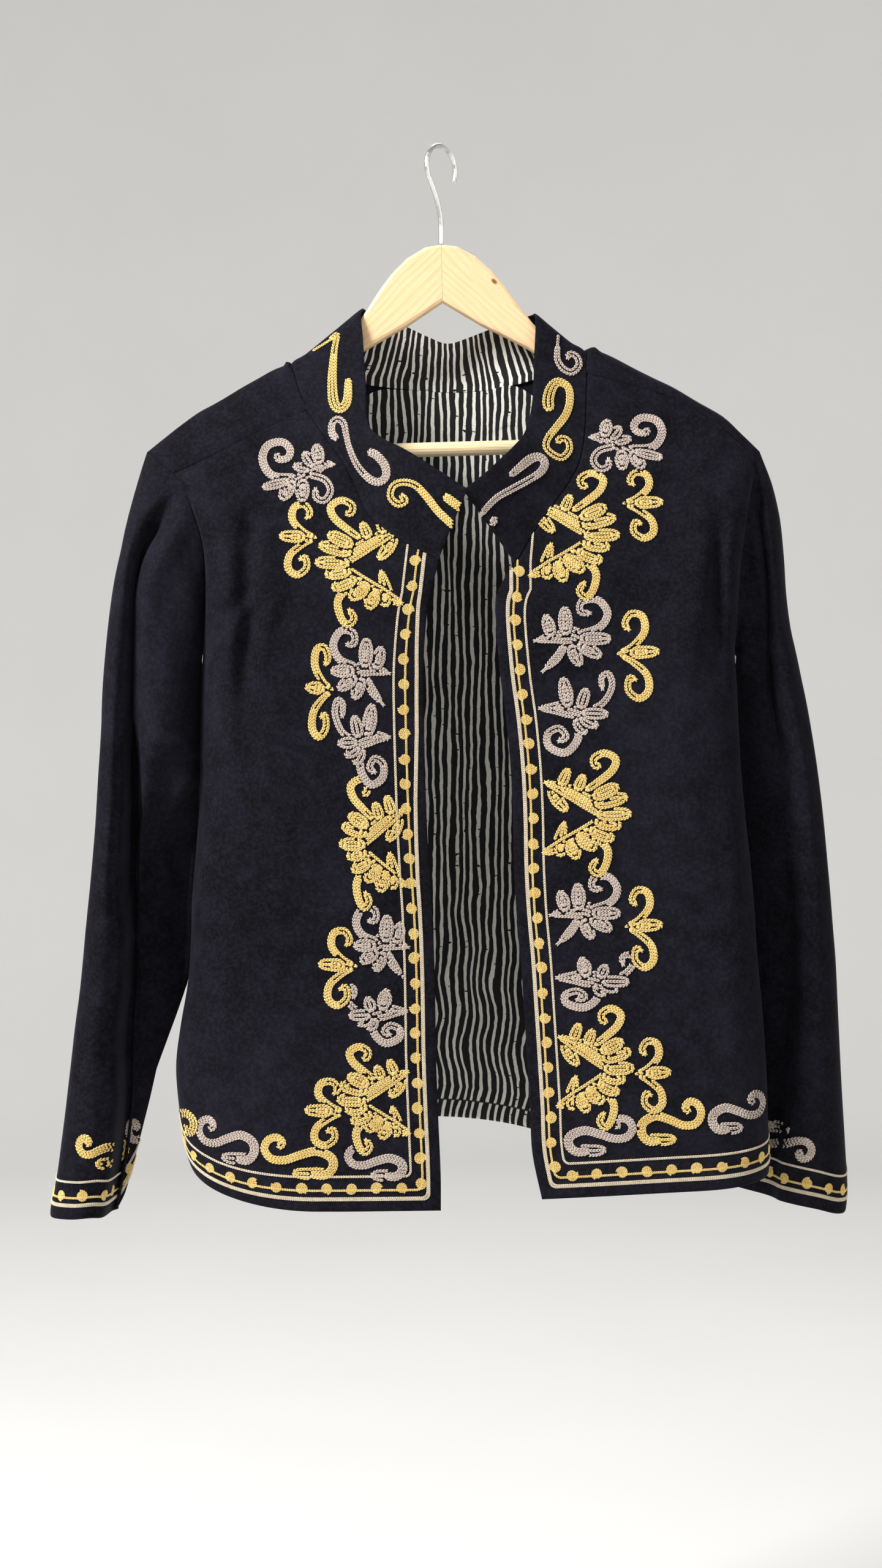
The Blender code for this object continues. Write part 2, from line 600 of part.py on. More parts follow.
def hook_path():
    """The hook's wire: a shank that swings out, over the rail and down behind it."""
    inner = 14.5
    radius = inner + HOOK_WIRE / 2
    middle_z = -inner
    arc = [(radius * math.cos(a), middle_z + radius * math.sin(a))
           for a in np.radians(np.linspace(-42, 205, 22))]
    shank = [(0, CROWN_Z + 0.4), (0, -62), (0.4, -52), (3.5, -41), (8.4, -31.5), arc[0]]
    lead = through(np.array(shank, float), np.linspace(0, 1, 11))[:-1]
    return [*lead, *arc]


def build_hook(material, collection):
    """A round wire, turned so that it crosses the rail."""
    turn = math.radians(40)
    curve = bpy.data.curves.new("hanger_hook", "CURVE")
    curve.dimensions = "3D"
    curve.bevel_depth = HOOK_WIRE / 2 * MM
    curve.bevel_resolution = 2
    curve.use_fill_caps = True
    line = curve.splines.new("POLY")
    path = hook_path()
    line.points.add(len(path) - 1)
    for point, (reach, height) in zip(line.points, path):
        point.co = (-reach * math.sin(turn) * MM, -reach * math.cos(turn) * MM, height * MM, 1)
    curve.materials.append(material)
    collection.objects.link(bpy.data.objects.new("hanger_hook", curve))


def share_normals(panels, underarms):
    """Gives points of different pieces that fall together at a seam one common normal.

    Under an arm the body and the sleeve lie back to back, so that normal points down.
    """
    points = np.concatenate([panel.points.reshape(-1, 3) for panel in panels])
    normals = np.concatenate([panel.normals.reshape(-1, 3) for panel in panels])
    keys = np.round(points / 0.05).astype(int)
    _, index = np.unique(keys, axis=0, return_inverse=True)
    index = index.reshape(-1)
    sums = np.zeros((index.max() + 1, 3))
    np.add.at(sums, index, normals)
    for underarm in underarms:
        at_arm = np.linalg.norm(points - underarm, axis=1) < 0.05
        sums[index[at_arm]] += (0, 0, -6)
    shared = unit(sums[index])
    start = 0
    for panel in panels:
        rows, columns = panel.points.shape[:2]
        panel.normals = shared[start : start + rows * columns].reshape(rows, columns, 3).copy()
        start += rows * columns


def halve_seam(front, seam):
    """Lays a front's top row on the back's seam, two of its spans to one of the back's."""
    halves = np.linspace(0, SEAM_COLUMNS, FRONT_COLUMNS + 1)
    stations = np.arange(SEAM_COLUMNS + 1)
    front[-1] = np.array([np.interp(halves, stations, seam[:, k]) for k in range(3)]).T


def settle_halves(front):
    """Gives the points between the back's seam points their neighbours' normal."""
    top = front.normals[-1]
    top[1:-1:2] = unit(top[:-2:2] + top[2::2])


def lining_grid(back):
    """The back's inner face, moved in: to the neck seam, and to under the arms at the shoulders."""
    inner = back.points - back.normals * (WALL + LINING_GAP)
    columns = inner[:, 2:-2]
    places = column_places()[2:-2]
    reach = np.interp(places, LINING_REACH_STATIONS, LINING_REACH_ROWS)
    rows = np.arange(len(back.points))
    grid = np.zeros((LINING_ROWS + 1, columns.shape[1], 3))
    for j, top in enumerate(reach):
        levels = np.linspace(0, top, LINING_ROWS + 1)
        for k in range(3):
            grid[:, j, k] = np.interp(levels, rows, columns[:, j, k])
    return grid


def build_cloth():
    """The panels, from the fronts to the linings."""
    top = LOWER_ROWS + UPPER_ROWS
    ridge = LOWER_ROWS + BLADE_ROWS
    right_points = front_grid(RIGHT_FRONT, RIGHT_UNDERARM_ROW, RIGHT_NECK_ROW, RIGHT_FRONT_FOLDS)
    left_points = front_grid(LEFT_FRONT, LEFT_UNDERARM_ROW, LEFT_NECK_ROW, LEFT_FRONT_FOLDS)
    back_points = back_grid(right_points[: LOWER_ROWS + 1, -1], left_points[: LOWER_ROWS + 1, -1])
    halve_seam(right_points, back_points[-1, SEAM_COLUMNS::-1])
    halve_seam(left_points, back_points[-1, -SEAM_COLUMNS - 1 :])

    right = Panel("front_right", right_points, -1)
    left = Panel("front_left", left_points, 1)
    back = Panel("back", back_points, -1)

    neck_row = LOWER_ROWS + 2
    neck_span = slice(SEAM_COLUMNS, SEAM_COLUMNS + NECK_COLUMNS + 1)
    neckline = np.concatenate([
        right.points[neck_row:top, 0], back.points[-1, neck_span], left.points[neck_row:top, 0][::-1],
    ])
    collar_points, shares = collar_grid(neckline)
    collar = Panel("collar", collar_points, -1)

    sleeves = []
    for name, table, front, side, outward in (
        ("sleeve_right", RIGHT_SLEEVE, right, 0, -1), ("sleeve_left", LEFT_SLEEVE, left, -1, 1),
    ):
        armhole = np.concatenate([
            back.points[ridge:, side], front.points[LOWER_ROWS:top, -1][::-1],
            back.points[LOWER_ROWS + 1 : ridge, side],
        ])
        sleeves.append(Panel(name, sleeve_grid(table, armhole), outward, ring=True))

    panels = [right, left, back, collar, *sleeves]
    share_normals(panels, [front.points[LOWER_ROWS, -1].copy() for front in (right, left)])
    settle_halves(right)
    settle_halves(left)
    lining = Panel("back_lining", lining_grid(back), -1, wall=LINING_WALL)
    inside = (shares > COLLAR_LINING_SHARES[0]) & (shares < COLLAR_LINING_SHARES[1])
    band = collar.points[:, inside] - collar.normals[:, inside] * (WALL + SEAM_GAP)
    collar_lining = Panel("collar_lining", band, -1, wall=LINING_WALL)
    for front in (right, left):
        front.trim(rows=[-1], columns=[-1])
        neck = front.points[neck_row:]
        neck[:, 0] += SEAM_GAP / 2 * unit(neck[:, 1] - neck[:, 0])
    back.trim(rows=[-1])
    back.trim(columns=[0, -1], by=SIDE_GAP)
    collar.trim(rows=[0], by=COLLAR_GAP)
    collar_lining.trim(rows=[0])
    lining.trim(rows=[-1])
    for sleeve in sleeves:
        sleeve.trim(rows=[0], by=SLEEVE_GAP)
    return panels, [lining, collar_lining]


def main():
    for item in list(bpy.data.objects):
        bpy.data.objects.remove(item)
    collection = bpy.data.collections.new("embroidered_jacket")
    bpy.context.scene.collection.children.link(collection)
    materials = {name: make_material(name) for name in COLOURS}
    build_arm("hanger_arm_right", -1, materials["pine"], collection)
    build_arm("hanger_arm_left", 1, materials["pine"], collection)
    build_bar(materials["dowel"], collection)
    build_hook(materials["steel"], collection)
    velvet, linings = build_cloth()
    for panel in velvet:
        panel.build(materials["velvet"], collection)
    for panel in linings:
        panel.build(materials["lining"], collection)


main()
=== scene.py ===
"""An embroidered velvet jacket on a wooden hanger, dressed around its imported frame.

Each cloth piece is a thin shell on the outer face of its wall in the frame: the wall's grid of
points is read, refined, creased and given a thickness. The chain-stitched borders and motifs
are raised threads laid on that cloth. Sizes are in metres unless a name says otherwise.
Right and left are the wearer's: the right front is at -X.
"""

import logging
import math
from dataclasses import dataclass, field
from enum import Enum
from typing import Any, Sequence

import bpy
import numpy as np
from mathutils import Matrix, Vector, noise
from mathutils.bvhtree import BVHTree


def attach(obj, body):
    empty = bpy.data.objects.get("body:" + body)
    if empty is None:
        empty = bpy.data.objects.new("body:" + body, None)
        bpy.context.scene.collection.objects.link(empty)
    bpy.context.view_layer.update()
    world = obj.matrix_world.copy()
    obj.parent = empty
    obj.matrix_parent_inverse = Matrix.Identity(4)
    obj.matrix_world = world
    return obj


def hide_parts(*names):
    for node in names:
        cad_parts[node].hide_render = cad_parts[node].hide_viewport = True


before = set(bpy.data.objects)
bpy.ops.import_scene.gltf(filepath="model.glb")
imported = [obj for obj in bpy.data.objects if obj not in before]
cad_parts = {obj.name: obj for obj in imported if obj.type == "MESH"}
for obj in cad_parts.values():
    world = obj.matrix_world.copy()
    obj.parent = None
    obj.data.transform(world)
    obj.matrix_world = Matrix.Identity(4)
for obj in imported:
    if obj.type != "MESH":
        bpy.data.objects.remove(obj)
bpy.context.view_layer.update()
LOG = logging.getLogger("jacket")

Array = np.ndarray
Pair = tuple[float, float]
Triple = tuple[float, float, float]

MM = 0.001
BODY = "root"

# The photograph: its height in pixels, the hook's inner top in it, and the camera that took it.
PHOTO_HEIGHT = 2560
HOOK_PIXEL = (720.0, 243.0)
PIXEL = 0.45 * MM  # a pixel's size at the hanger
CAMERA_DISTANCE = 1.7
CAMERA_Z = -(PHOTO_HEIGHT / 2 - HOOK_PIXEL[1]) * PIXEL
SENSOR = 36.0
FRONT_Y = -0.04  # about where the fronts' cloth hangs


class Thread(Enum):
    """The three threads of the embroidery."""

    GOLD = "gold_thread"
    MAUVE = "mauve_thread"
    CREAM = "cream_thread"


class Sock:
    """A shader socket that takes part in Python arithmetic."""

    def __init__(self, graph: "Graph", socket: Any) -> None:
        """Wraps a socket of a graph.

        Args:
            graph: The node graph it belongs to.
            socket: The output socket.
        """
        self.graph = graph
        self.socket = socket

    def _math(self, operation: str, *values: Any) -> "Sock":
        """Adds one Math node."""
        return self.graph.node("ShaderNodeMath", {"operation": operation}, dict(enumerate(values)))

    def __add__(self, other: Any) -> "Sock":
        """Sum."""
        return self._math("ADD", self, other)

    __radd__ = __add__

    def __sub__(self, other: Any) -> "Sock":
        """Difference."""
        return self._math("SUBTRACT", self, other)

    def __rsub__(self, other: Any) -> "Sock":
        """Reflected difference."""
        return self._math("SUBTRACT", other, self)

    def __mul__(self, other: Any) -> "Sock":
        """Product."""
        return self._math("MULTIPLY", self, other)

    __rmul__ = __mul__

    def __truediv__(self, other: Any) -> "Sock":
        """Quotient."""
        return self._math("DIVIDE", self, other)

    def above(self, limit: Any) -> "Sock":
        """One where the value is over the limit."""
        return self._math("GREATER_THAN", self, limit)

    def fract(self) -> "Sock":
        """The part after the decimal point."""
        return self._math("FRACT", self)

    def sine(self) -> "Sock":
        """The sine."""
        return self._math("SINE", self)

    def size(self) -> "Sock":
        """The absolute value."""
        return self._math("ABSOLUTE", self)

    def ramp(self, low: float, high: float, out_low: float = 0.0, out_high: float = 1.0) -> "Sock":
        """Maps a range smoothly to another, clamped at its ends.

        Args:
            low: Input that gives out_low.
            high: Input that gives out_high.
            out_low: First output.
            out_high: Second output.

        Returns:
            The mapped value.
        """
        settings = {"interpolation_type": "SMOOTHSTEP", "clamp": True}
        return self.graph.node(
            "ShaderNodeMapRange", settings, {0: self, 1: low, 2: high, 3: out_low, 4: out_high}
        )


class Graph:
    """The nodes of one material."""

    def __init__(self, name: str) -> None:
        """Starts a material with a Principled shader.

        Args:
            name: The material's name.
        """
        self.material = bpy.data.materials.new(name)
        self.material.use_nodes = True
        self.tree = self.material.node_tree
        self.shader = self.tree.nodes["Principled BSDF"]

    def node(self, kind: str, settings: dict[str, Any], inputs: dict[Any, Any], output: Any = 0) -> Sock:
        """Adds a node.

        Args:
            kind: The node's type.
            settings: Its properties, which are set first.
            inputs: Values or sockets by input name or number.
            output: The output wanted, by name or number.

        Returns:
            That output.
        """
        made = self.tree.nodes.new(kind)
        for key, value in settings.items():
            setattr(made, key, value)
        self.feed(made, inputs)
        return Sock(self, made.outputs[output])

    def feed(self, made: Any, inputs: dict[Any, Any]) -> None:
        """Links or sets a node's inputs.

        Args:
            made: The node.
            inputs: Values or sockets by input name or number.
        """
        for key, value in inputs.items():
            if isinstance(value, Sock):
                self.tree.links.new(value.socket, made.inputs[key])
            else:
                made.inputs[key].default_value = value

    def place(self, kind: str = "Object") -> Sock:
        """The surface's own coordinates: Object or UV."""
        return self.node("ShaderNodeTexCoord", {}, {}, kind)

    def mapped(self, place: Sock, scale: Triple, turn: Triple = (0, 0, 0)) -> Sock:
        """Coordinates turned and then stretched."""
        turned = self.node("ShaderNodeMapping", {}, {"Vector": place, "Rotation": turn})
        return self.node("ShaderNodeMapping", {}, {"Vector": turned, "Scale": scale})

    def axis(self, place: Sock, name: str) -> Sock:
        """One coordinate."""
        return self.node("ShaderNodeSeparateXYZ", {}, {0: place}, name)

    def cloud(self, place: Sock, scale: float, detail: float = 3.0, rough: float = 0.5) -> Sock:
        """Soft noise from 0 to 1."""
        values = {"Vector": place, "Scale": scale, "Detail": detail, "Roughness": rough}
        return self.node("ShaderNodeTexNoise", {}, values)

    def blend(self, mask: Sock, first: Any, second: Any) -> Sock:
        """A colour between two, by a mask."""
        return self.node(
            "ShaderNodeMix", {"data_type": "RGBA"}, {0: mask, 6: colour(first), 7: colour(second)}, 2
        )

    def bump(self, height: Sock, depth: float, strength: float) -> Sock:
        """A bumped normal for heights from 0 to 1."""
        values = {"Height": height, "Distance": depth, "Strength": strength}
        return self.node("ShaderNodeBump", {}, values)

    def finish(self, **inputs: Any) -> bpy.types.Material:
        """Feeds the Principled shader, by socket names with _ for spaces.

        Args:
            **inputs: Values or sockets.

        Returns:
            The material.
        """
        self.feed(self.shader, {name.replace("_", " "): value for name, value in inputs.items()})
        return self.material


def colour(value: Any) -> Any:
    """A colour with alpha, or a socket as it is."""
    return value if isinstance(value, Sock) else (*value, 1.0)


@dataclass(frozen=True)
class Velvet:
    """Black cotton velvet with painted sheen: random lighter violet patches stand in for the brushed pile's
    sheen.
    """

    deep: Triple = (0.0018, 0.0017, 0.0027)
    # The second colour is painted sheen: the lighter violet that the brushed pile's sheen shows.
    painted_sheen: Triple = (0.0138, 0.0128, 0.0200)
    pile_depth: float = 0.0005

    def build(self) -> bpy.types.Material:
        """Returns the velvet."""
        graph = Graph("velvet")
        place = graph.place()
        brushed = graph.mapped(place, (1.0, 1.0, 0.45))
        broad = graph.cloud(brushed, 9.0, 3.0)
        patch = graph.cloud(place, 55.0, 4.0, 0.62)
        speck = graph.cloud(place, 420.0, 2.0, 0.6)
        pile = graph.cloud(place, 1500.0, 2.0)
        # Painted sheen: noise at three sizes lightens the black towards violet in random patches.
        painted_sheen = broad.ramp(0.35, 0.7) * 0.25 + patch.ramp(0.34, 0.7) * 0.35 + speck.ramp(0.38, 0.7) * 0.4
        base = graph.blend(painted_sheen, self.deep, self.painted_sheen)
        return graph.finish(
            Base_Color=base,
            Roughness=patch.ramp(0.2, 0.8, 0.78, 0.95),
            Specular_IOR_Level=0.07,
            Sheen_Weight=0.05,
            Sheen_Roughness=0.34,
            Sheen_Tint=(0.62, 0.60, 0.78, 1.0),
            Normal=graph.bump(pile * 0.6 + speck * 0.4, self.pile_depth, 0.55),
        )


@dataclass(frozen=True)
class StripedCotton:
    """Black cotton printed with uneven off-white stripes that wander and break here and there."""

    black: Triple = (0.010, 0.0095, 0.010)
    white: Triple = (0.88, 0.86, 0.79)
    period: float = 0.0057
    share: float = 0.37
    hem_fold: float = 0.0132
    faded: float = 0.72
    weave: float = 0.0006

    def build(self) -> bpy.types.Material:
        """Returns the printed cotton.

        Its stripes run along the UV map's second axis, which is the height over the piece's hem:
        below the hem fold's seam the turned-up cloth's stripes don't meet those above.
        """
        graph = Graph("striped_cotton")
        place = graph.place("UV")
        across = graph.axis(place, "X")
        height = graph.axis(place, "Y")
        above = height.above(self.hem_fold)
        slow = graph.cloud(graph.mapped(place, (60.0, 14.0, 1.0)), 1.0, 1.0)
        quick = graph.cloud(graph.mapped(place, (95.0, 75.0, 1.0)), 1.0, 2.0)
        wander = (slow - 0.5) * 1.4 + (quick - 0.5) * 0.42
        turns = across / self.period + wander + above * 0.45
        distance = ((turns.fract() - 0.5).size()) * 2.0
        width = graph.cloud(graph.mapped(place, (120.0, 55.0, 1.0)), 1.0, 2.0)
        limit = (width - 0.5) * 0.42 + self.share
        stripe = (limit - distance).ramp(-0.035, 0.055)
        gap = graph.cloud(graph.mapped(place, (130.0, 330.0, 1.0)), 1.0, 1.0).ramp(0.70, 0.715)
        # Painted shadow: a thin band along the hem fold's seam, where the fold's shade falls.
        seam = (height - self.hem_fold).size().ramp(0.0009, 0.0003)
        ink = graph.cloud(place, 900.0, 3.0, 0.7)
        white = graph.blend(ink.ramp(0.3, 0.75), tuple(c * self.faded for c in self.white), self.white)
        # The seam's painted shadow darkens the stripes here.
        mask = stripe * (1.0 - gap) * (1.0 - seam * 0.85)
        weave_x = (across * (2 * math.pi / self.weave)).sine()
        weave_y = (height * (2 * math.pi / self.weave)).sine()
        return graph.finish(
            Base_Color=graph.blend(mask, self.black, white),
            Roughness=ink.ramp(0.2, 0.8, 0.72, 0.9),
            Specular_IOR_Level=0.2,
            Sheen_Weight=0.03,
            Normal=graph.bump(weave_x * weave_y * 0.5 + ink, 0.00018, 0.6),
        )


@dataclass(frozen=True)
class Yarn:
    """Twisted cotton thread, with painted shade in the hollows between its strands."""

    name: str
    light: Triple
    painted_hollow_shade: Triple
    tint: Triple

    def build(self) -> bpy.types.Material:
        """Returns the thread's material."""
        graph = Graph(self.name)
        place = graph.place()
        strand = graph.cloud(place, 2600.0, 2.0, 0.6)
        patch = graph.cloud(place, 120.0, 3.0, 0.6)
        hue = graph.blend(patch.ramp(0.3, 0.7), self.light, self.tint)
        # Painted shade: fine noise darkens spots of the thread to the shade colour of its hollows.
        base = graph.blend(strand.ramp(0.28, 0.62), self.painted_hollow_shade, hue)
        return graph.finish(
            Base_Color=base,
            Roughness=strand.ramp(0.2, 0.8, 0.5, 0.68),
            Specular_IOR_Level=0.35,
            Sheen_Weight=0.12,
            Normal=graph.bump(strand, 0.00035, 0.7),
        )


@dataclass(frozen=True)
class Wood:
    """Pale sawn wood whose grain runs at an angle in the hanger's plane."""

    name: str
    pale: Triple
    late: Triple
    turn: float
    ring_pitch: float = 0.0048
    knot: Triple | None = None
    knot_brown: Triple = (0.23, 0.09, 0.03)
    knot_pitch: float = 0.0017

    def build(self) -> bpy.types.Material:
        """Returns the wood."""
        graph = Graph(self.name)
        place = graph.place()
        along = graph.mapped(place, (1.0, 1.0, 1.0), (0.0, self.turn, 0.0))
        streaks = graph.mapped(along, (9.0, 150.0, 150.0))
        grain = graph.axis(along, "Z")
        sway = graph.cloud(graph.mapped(along, (7.0, 20.0, 22.0)), 1.0, 2.0)
        phase = grain / self.ring_pitch + (sway - 0.5) * 5.0
        heart: Sock | None = None
        if self.knot is not None:
            offset = graph.node(
                "ShaderNodeVectorMath", {"operation": "SUBTRACT"}, {0: place, 1: self.knot}
            )
            squashed = graph.mapped(offset, (1.0, 0.0, 1.7), (0.0, self.turn, 0.0))
            reach = graph.node("ShaderNodeVectorMath", {"operation": "LENGTH"}, {0: squashed}, "Value")
            heart = reach.ramp(0.0035, 0.0015)
            swirl = reach.ramp(0.022, 0.004)
            phase = phase * (1.0 - swirl) + (reach / self.knot_pitch) * swirl
        rings = (phase * (2 * math.pi)).sine() * 0.5 + 0.5
        fine = graph.cloud(streaks, 4.0, 4.0, 0.6)
        mask = rings.ramp(0.35, 1.0) * 0.4 + fine.ramp(0.35, 0.75) * 0.4
        base = graph.blend(mask, self.pale, self.late)
        if heart is not None:
            base = graph.blend(heart, base, self.knot_brown)
        return graph.finish(
            Base_Color=base,
            Roughness=fine.ramp(0.2, 0.8, 0.38, 0.52),
            Specular_IOR_Level=0.4,
            Normal=graph.bump(fine + rings * 0.3, 0.00022, 0.5),
        )


@dataclass(frozen=True)
class Wire:
    """Bright plated wire with fine drawing marks."""

    pale: Triple = (0.74, 0.74, 0.72)
    dulled: float = 0.82

    def build(self) -> bpy.types.Material:
        """Returns the wire's metal."""
        graph = Graph("plated_wire")
        place = graph.place()
        marks = graph.cloud(graph.mapped(place, (900.0, 900.0, 90.0)), 1.0, 3.0)
        dull = graph.cloud(place, 160.0, 2.0)
        grey = tuple(c * self.dulled for c in self.pale)
        return graph.finish(
            Base_Color=graph.blend(dull.ramp(0.3, 0.7), self.pale, grey),
            Metallic=1.0,
            Roughness=marks.ramp(0.2, 0.8, 0.22, 0.4),
            Normal=graph.bump(marks, 0.00005, 0.5),
        )


# The hanger's pine: its pale wood and its darker rings.
PINE = ((0.80, 0.56, 0.32), (0.68, 0.43, 0.22))


@dataclass
class Finishes:
    """All the materials, built once."""

    velvet: bpy.types.Material = field(default_factory=lambda: Velvet().build())
    cotton: bpy.types.Material = field(default_factory=lambda: StripedCotton().build())
    steel: bpy.types.Material = field(default_factory=lambda: Wire().build())
    pine_right: bpy.types.Material = field(default_factory=lambda: Wood(
        "pine_right", *PINE, math.radians(47)
    ).build())
    pine_left: bpy.types.Material = field(default_factory=lambda: Wood(
        "pine_left", *PINE, math.radians(-43), knot=(0.039, 0.0, -0.0985)
    ).build())
    dowel: bpy.types.Material = field(default_factory=lambda: Wood(
        "dowel", (0.84, 0.68, 0.42), (0.72, 0.52, 0.28), 0.0, 0.0031
    ).build())
    # Each yarn: its light colour, the painted shade of its hollows, and its tint.
    threads: dict[Thread, bpy.types.Material] = field(default_factory=lambda: {
        Thread.GOLD: Yarn(
            "gold_yarn", (0.94, 0.74, 0.30), (0.46, 0.28, 0.06), (0.86, 0.62, 0.20)
        ).build(),
        Thread.MAUVE: Yarn(
            "mauve_yarn", (0.69, 0.59, 0.52), (0.30, 0.23, 0.19), (0.58, 0.48, 0.41)
        ).build(),
        Thread.CREAM: Yarn(
            "cream_yarn", (0.86, 0.77, 0.61), (0.40, 0.31, 0.20), (0.78, 0.66, 0.48)
        ).build(),
    })


def unit(vectors: Array) -> Array:
    """Vectors of length one along the last axis."""
    return vectors / np.maximum(np.linalg.norm(vectors, axis=-1, keepdims=True), 1e-12)


def follow(points: Array, at: Array, closed: bool = False) -> Array:
    """A smooth curve through the first axis's points, read at fractional places.

    Args:
        points: The points, along the first axis.
        at: Places counted in points.
        closed: Whether the last point is followed by the first.

    Returns:
        One row for each place.
    """
    count = len(points)
    if closed:
        padded = np.concatenate([points[-1:], points, points[:2]])
        low = np.floor(at).astype(int) % count
    else:
        padded = np.concatenate([2 * points[:1] - points[1:2], points, 2 * points[-1:] - points[-2:-1]])
        low = np.clip(np.floor(at).astype(int), 0, count - 2)
    part = (at - np.floor(at)) if closed else (at - low)
    part = part.reshape((-1,) + (1,) * (points.ndim - 1))
    a, b, c, d = (padded[low + k] for k in range(4))
    return 0.5 * (
        2 * b + (c - a) * part + (2 * a - 5 * b + 4 * c - d) * part**2 + (3 * b - a - 3 * c + d) * part**3
    )


def running_length(points: Array) -> Array:
    """The length along a line of points."""
    steps = np.linalg.norm(np.diff(points, axis=0), axis=1)
    return np.concatenate([[0.0], np.cumsum(steps)])


def evenly(points: Array, pitch: float) -> Array:
    """The same line with points a pitch apart.

    Args:
        points: The line.
        pitch: The wanted distance.

    Returns:
        The new points, at least two.
    """
    lengths = running_length(points)
    count = max(2, int(round(lengths[-1] / pitch)) + 1)
    at = np.linspace(0, lengths[-1], count)
    return np.stack([np.interp(at, lengths, points[:, k]) for k in range(points.shape[1])], axis=1)


def nearest_on_line(point: Array, line: Array) -> Array:
    """The nearest point of a line of points to a point."""
    start, run = line[:-1], np.diff(line, axis=0)
    share = np.sum((point - start) * run, axis=1) / np.maximum(np.sum(run * run, axis=1), 1e-15)
    spots = start + run * np.clip(share, 0, 1)[:, None]
    return spots[np.argmin(np.linalg.norm(spots - point, axis=1))]


@dataclass(frozen=True)
class Wall:
    """Where a cloth wall of the frame starts, so that its grid of points can be read.

    Its first row starts at `start` and goes towards `along`. `middle` lies inside the piece, and
    `facing` is 1 where the outer skin is read and -1 where the inner one is.
    """

    RIM_SLACK = 6e-6
    LEAST_SKIN = 0.25

    node: str
    columns: int
    start: Triple
    along: Triple
    middle: Triple
    thickness: float = 0.002
    ring: bool = False
    facing: int = 1
    drawn_back: tuple[float, float, float, float] = (0.0, 0.0, 0.0, 0.0)

    def sewn(self) -> Array:
        """The wall's grid with its sewn edges put back on their seams.

        In the frame they are drawn back by these millimetres: first and last row, first and last
        column.

        Returns:
            Points by row and column.
        """
        points = self.grid()
        for edge, inner, amount in ((0, 1, self.drawn_back[0]), (-1, -2, self.drawn_back[1])):
            points[edge] -= unit(points[inner] - points[edge]) * amount * MM
        for edge, inner, amount in ((0, 1, self.drawn_back[2]), (-1, -2, self.drawn_back[3])):
            points[:, edge] -= unit(points[:, inner] - points[:, edge]) * amount * MM
        return points

    def grid(self) -> Array:
        """Reads the wall's outer face, or its inner one where facing is -1.

        Returns:
            Points by row and column.
        """
        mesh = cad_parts[self.node].data
        raw = np.empty(len(mesh.vertices) * 3)
        mesh.vertices.foreach_get("co", raw)
        keys, index = np.unique(np.round(raw.reshape(-1, 3), 6), axis=0, return_inverse=True)
        mesh.calc_loop_triangles()
        corners = np.empty(len(mesh.loop_triangles) * 3, dtype=np.int64)
        mesh.loop_triangles.foreach_get("vertices", corners)
        faces = index.reshape(-1)[corners].reshape(-1, 3)
        skin = self._skin(keys, faces)
        return self._rows(keys, skin)

    def _skin(self, points: Array, faces: Array) -> Array:
        """Picks the triangles of one skin: a rim's triangles span the wall's thickness."""
        ends = points[faces]
        spans = np.linalg.norm(ends - np.roll(ends, -1, axis=1), axis=2)
        rim = np.any(np.abs(spans - self.thickness) < self.RIM_SLACK, axis=1)
        kept = faces[~rim]
        leader = np.arange(len(points))

        def lead(k: int) -> int:
            """The leader of a point's group."""
            while leader[k] != k:
                leader[k] = leader[leader[k]]
                k = leader[k]
            return k

        for a, b, c in kept:
            first = lead(a)
            leader[lead(b)] = first
            leader[lead(c)] = lead(first)
        groups = np.array([lead(a) for a in kept[:, 0]])
        best, chosen = None, None
        for group in np.unique(groups):
            part = kept[groups == group]
            corners = points[part]
            normals = np.cross(corners[:, 1] - corners[:, 0], corners[:, 2] - corners[:, 0])
            away = corners.mean(axis=1) - np.array(self.middle)
            away[:, 2] = 0.0
            score = self.facing * float(np.sum(normals * away))
            if len(part) > len(kept) * self.LEAST_SKIN and (best is None or score > best):
                best, chosen = score, part
        return chosen

    def _rows(self, points: Array, skin: Array) -> Array:
        """Walks the skin row by row, from the edge that it starts with."""
        third: dict[tuple[int, int], list[int]] = {}
        for triangle in skin.tolist():
            for k in range(3):
                a, b, c = triangle[k], triangle[(k + 1) % 3], triangle[(k + 2) % 3]
                third.setdefault((min(a, b), max(a, b)), []).append(c)
        beside: dict[int, list[int]] = {}
        for (a, b), faces in third.items():
            if len(faces) == 1:
                beside.setdefault(a, []).append(b)
                beside.setdefault(b, []).append(a)
        rim = np.array(sorted(beside))
        first = int(rim[np.argmin(np.linalg.norm(points[rim] - np.array(self.start), axis=1))])
        towards = np.array(self.along)
        second = min(beside[first], key=lambda k: np.linalg.norm(points[k] - towards))
        row = [first, second]
        while len(row) < self.columns:
            row.append(next(k for k in beside[row[-1]] if k != row[-2]))
        rows = [row]
        used = set(row)
        spans = self.columns if self.ring else self.columns - 1
        while True:
            fresh: list[int] = [-1] * self.columns
            for j in range(spans):
                a, b = row[j], row[(j + 1) % self.columns]
                ahead = [c for c in third[(min(a, b), max(a, b))] if c not in used]
                if not ahead:
                    return points[np.array(rows)]
                fresh[(j + 1) % self.columns] = ahead[0]
            if not self.ring:
                a, b = row[0], fresh[1]
                fresh[0] = next(c for c in third[(min(a, b), max(a, b))] if c != row[1])
            used.update(fresh)
            rows.append(fresh)
            row = fresh


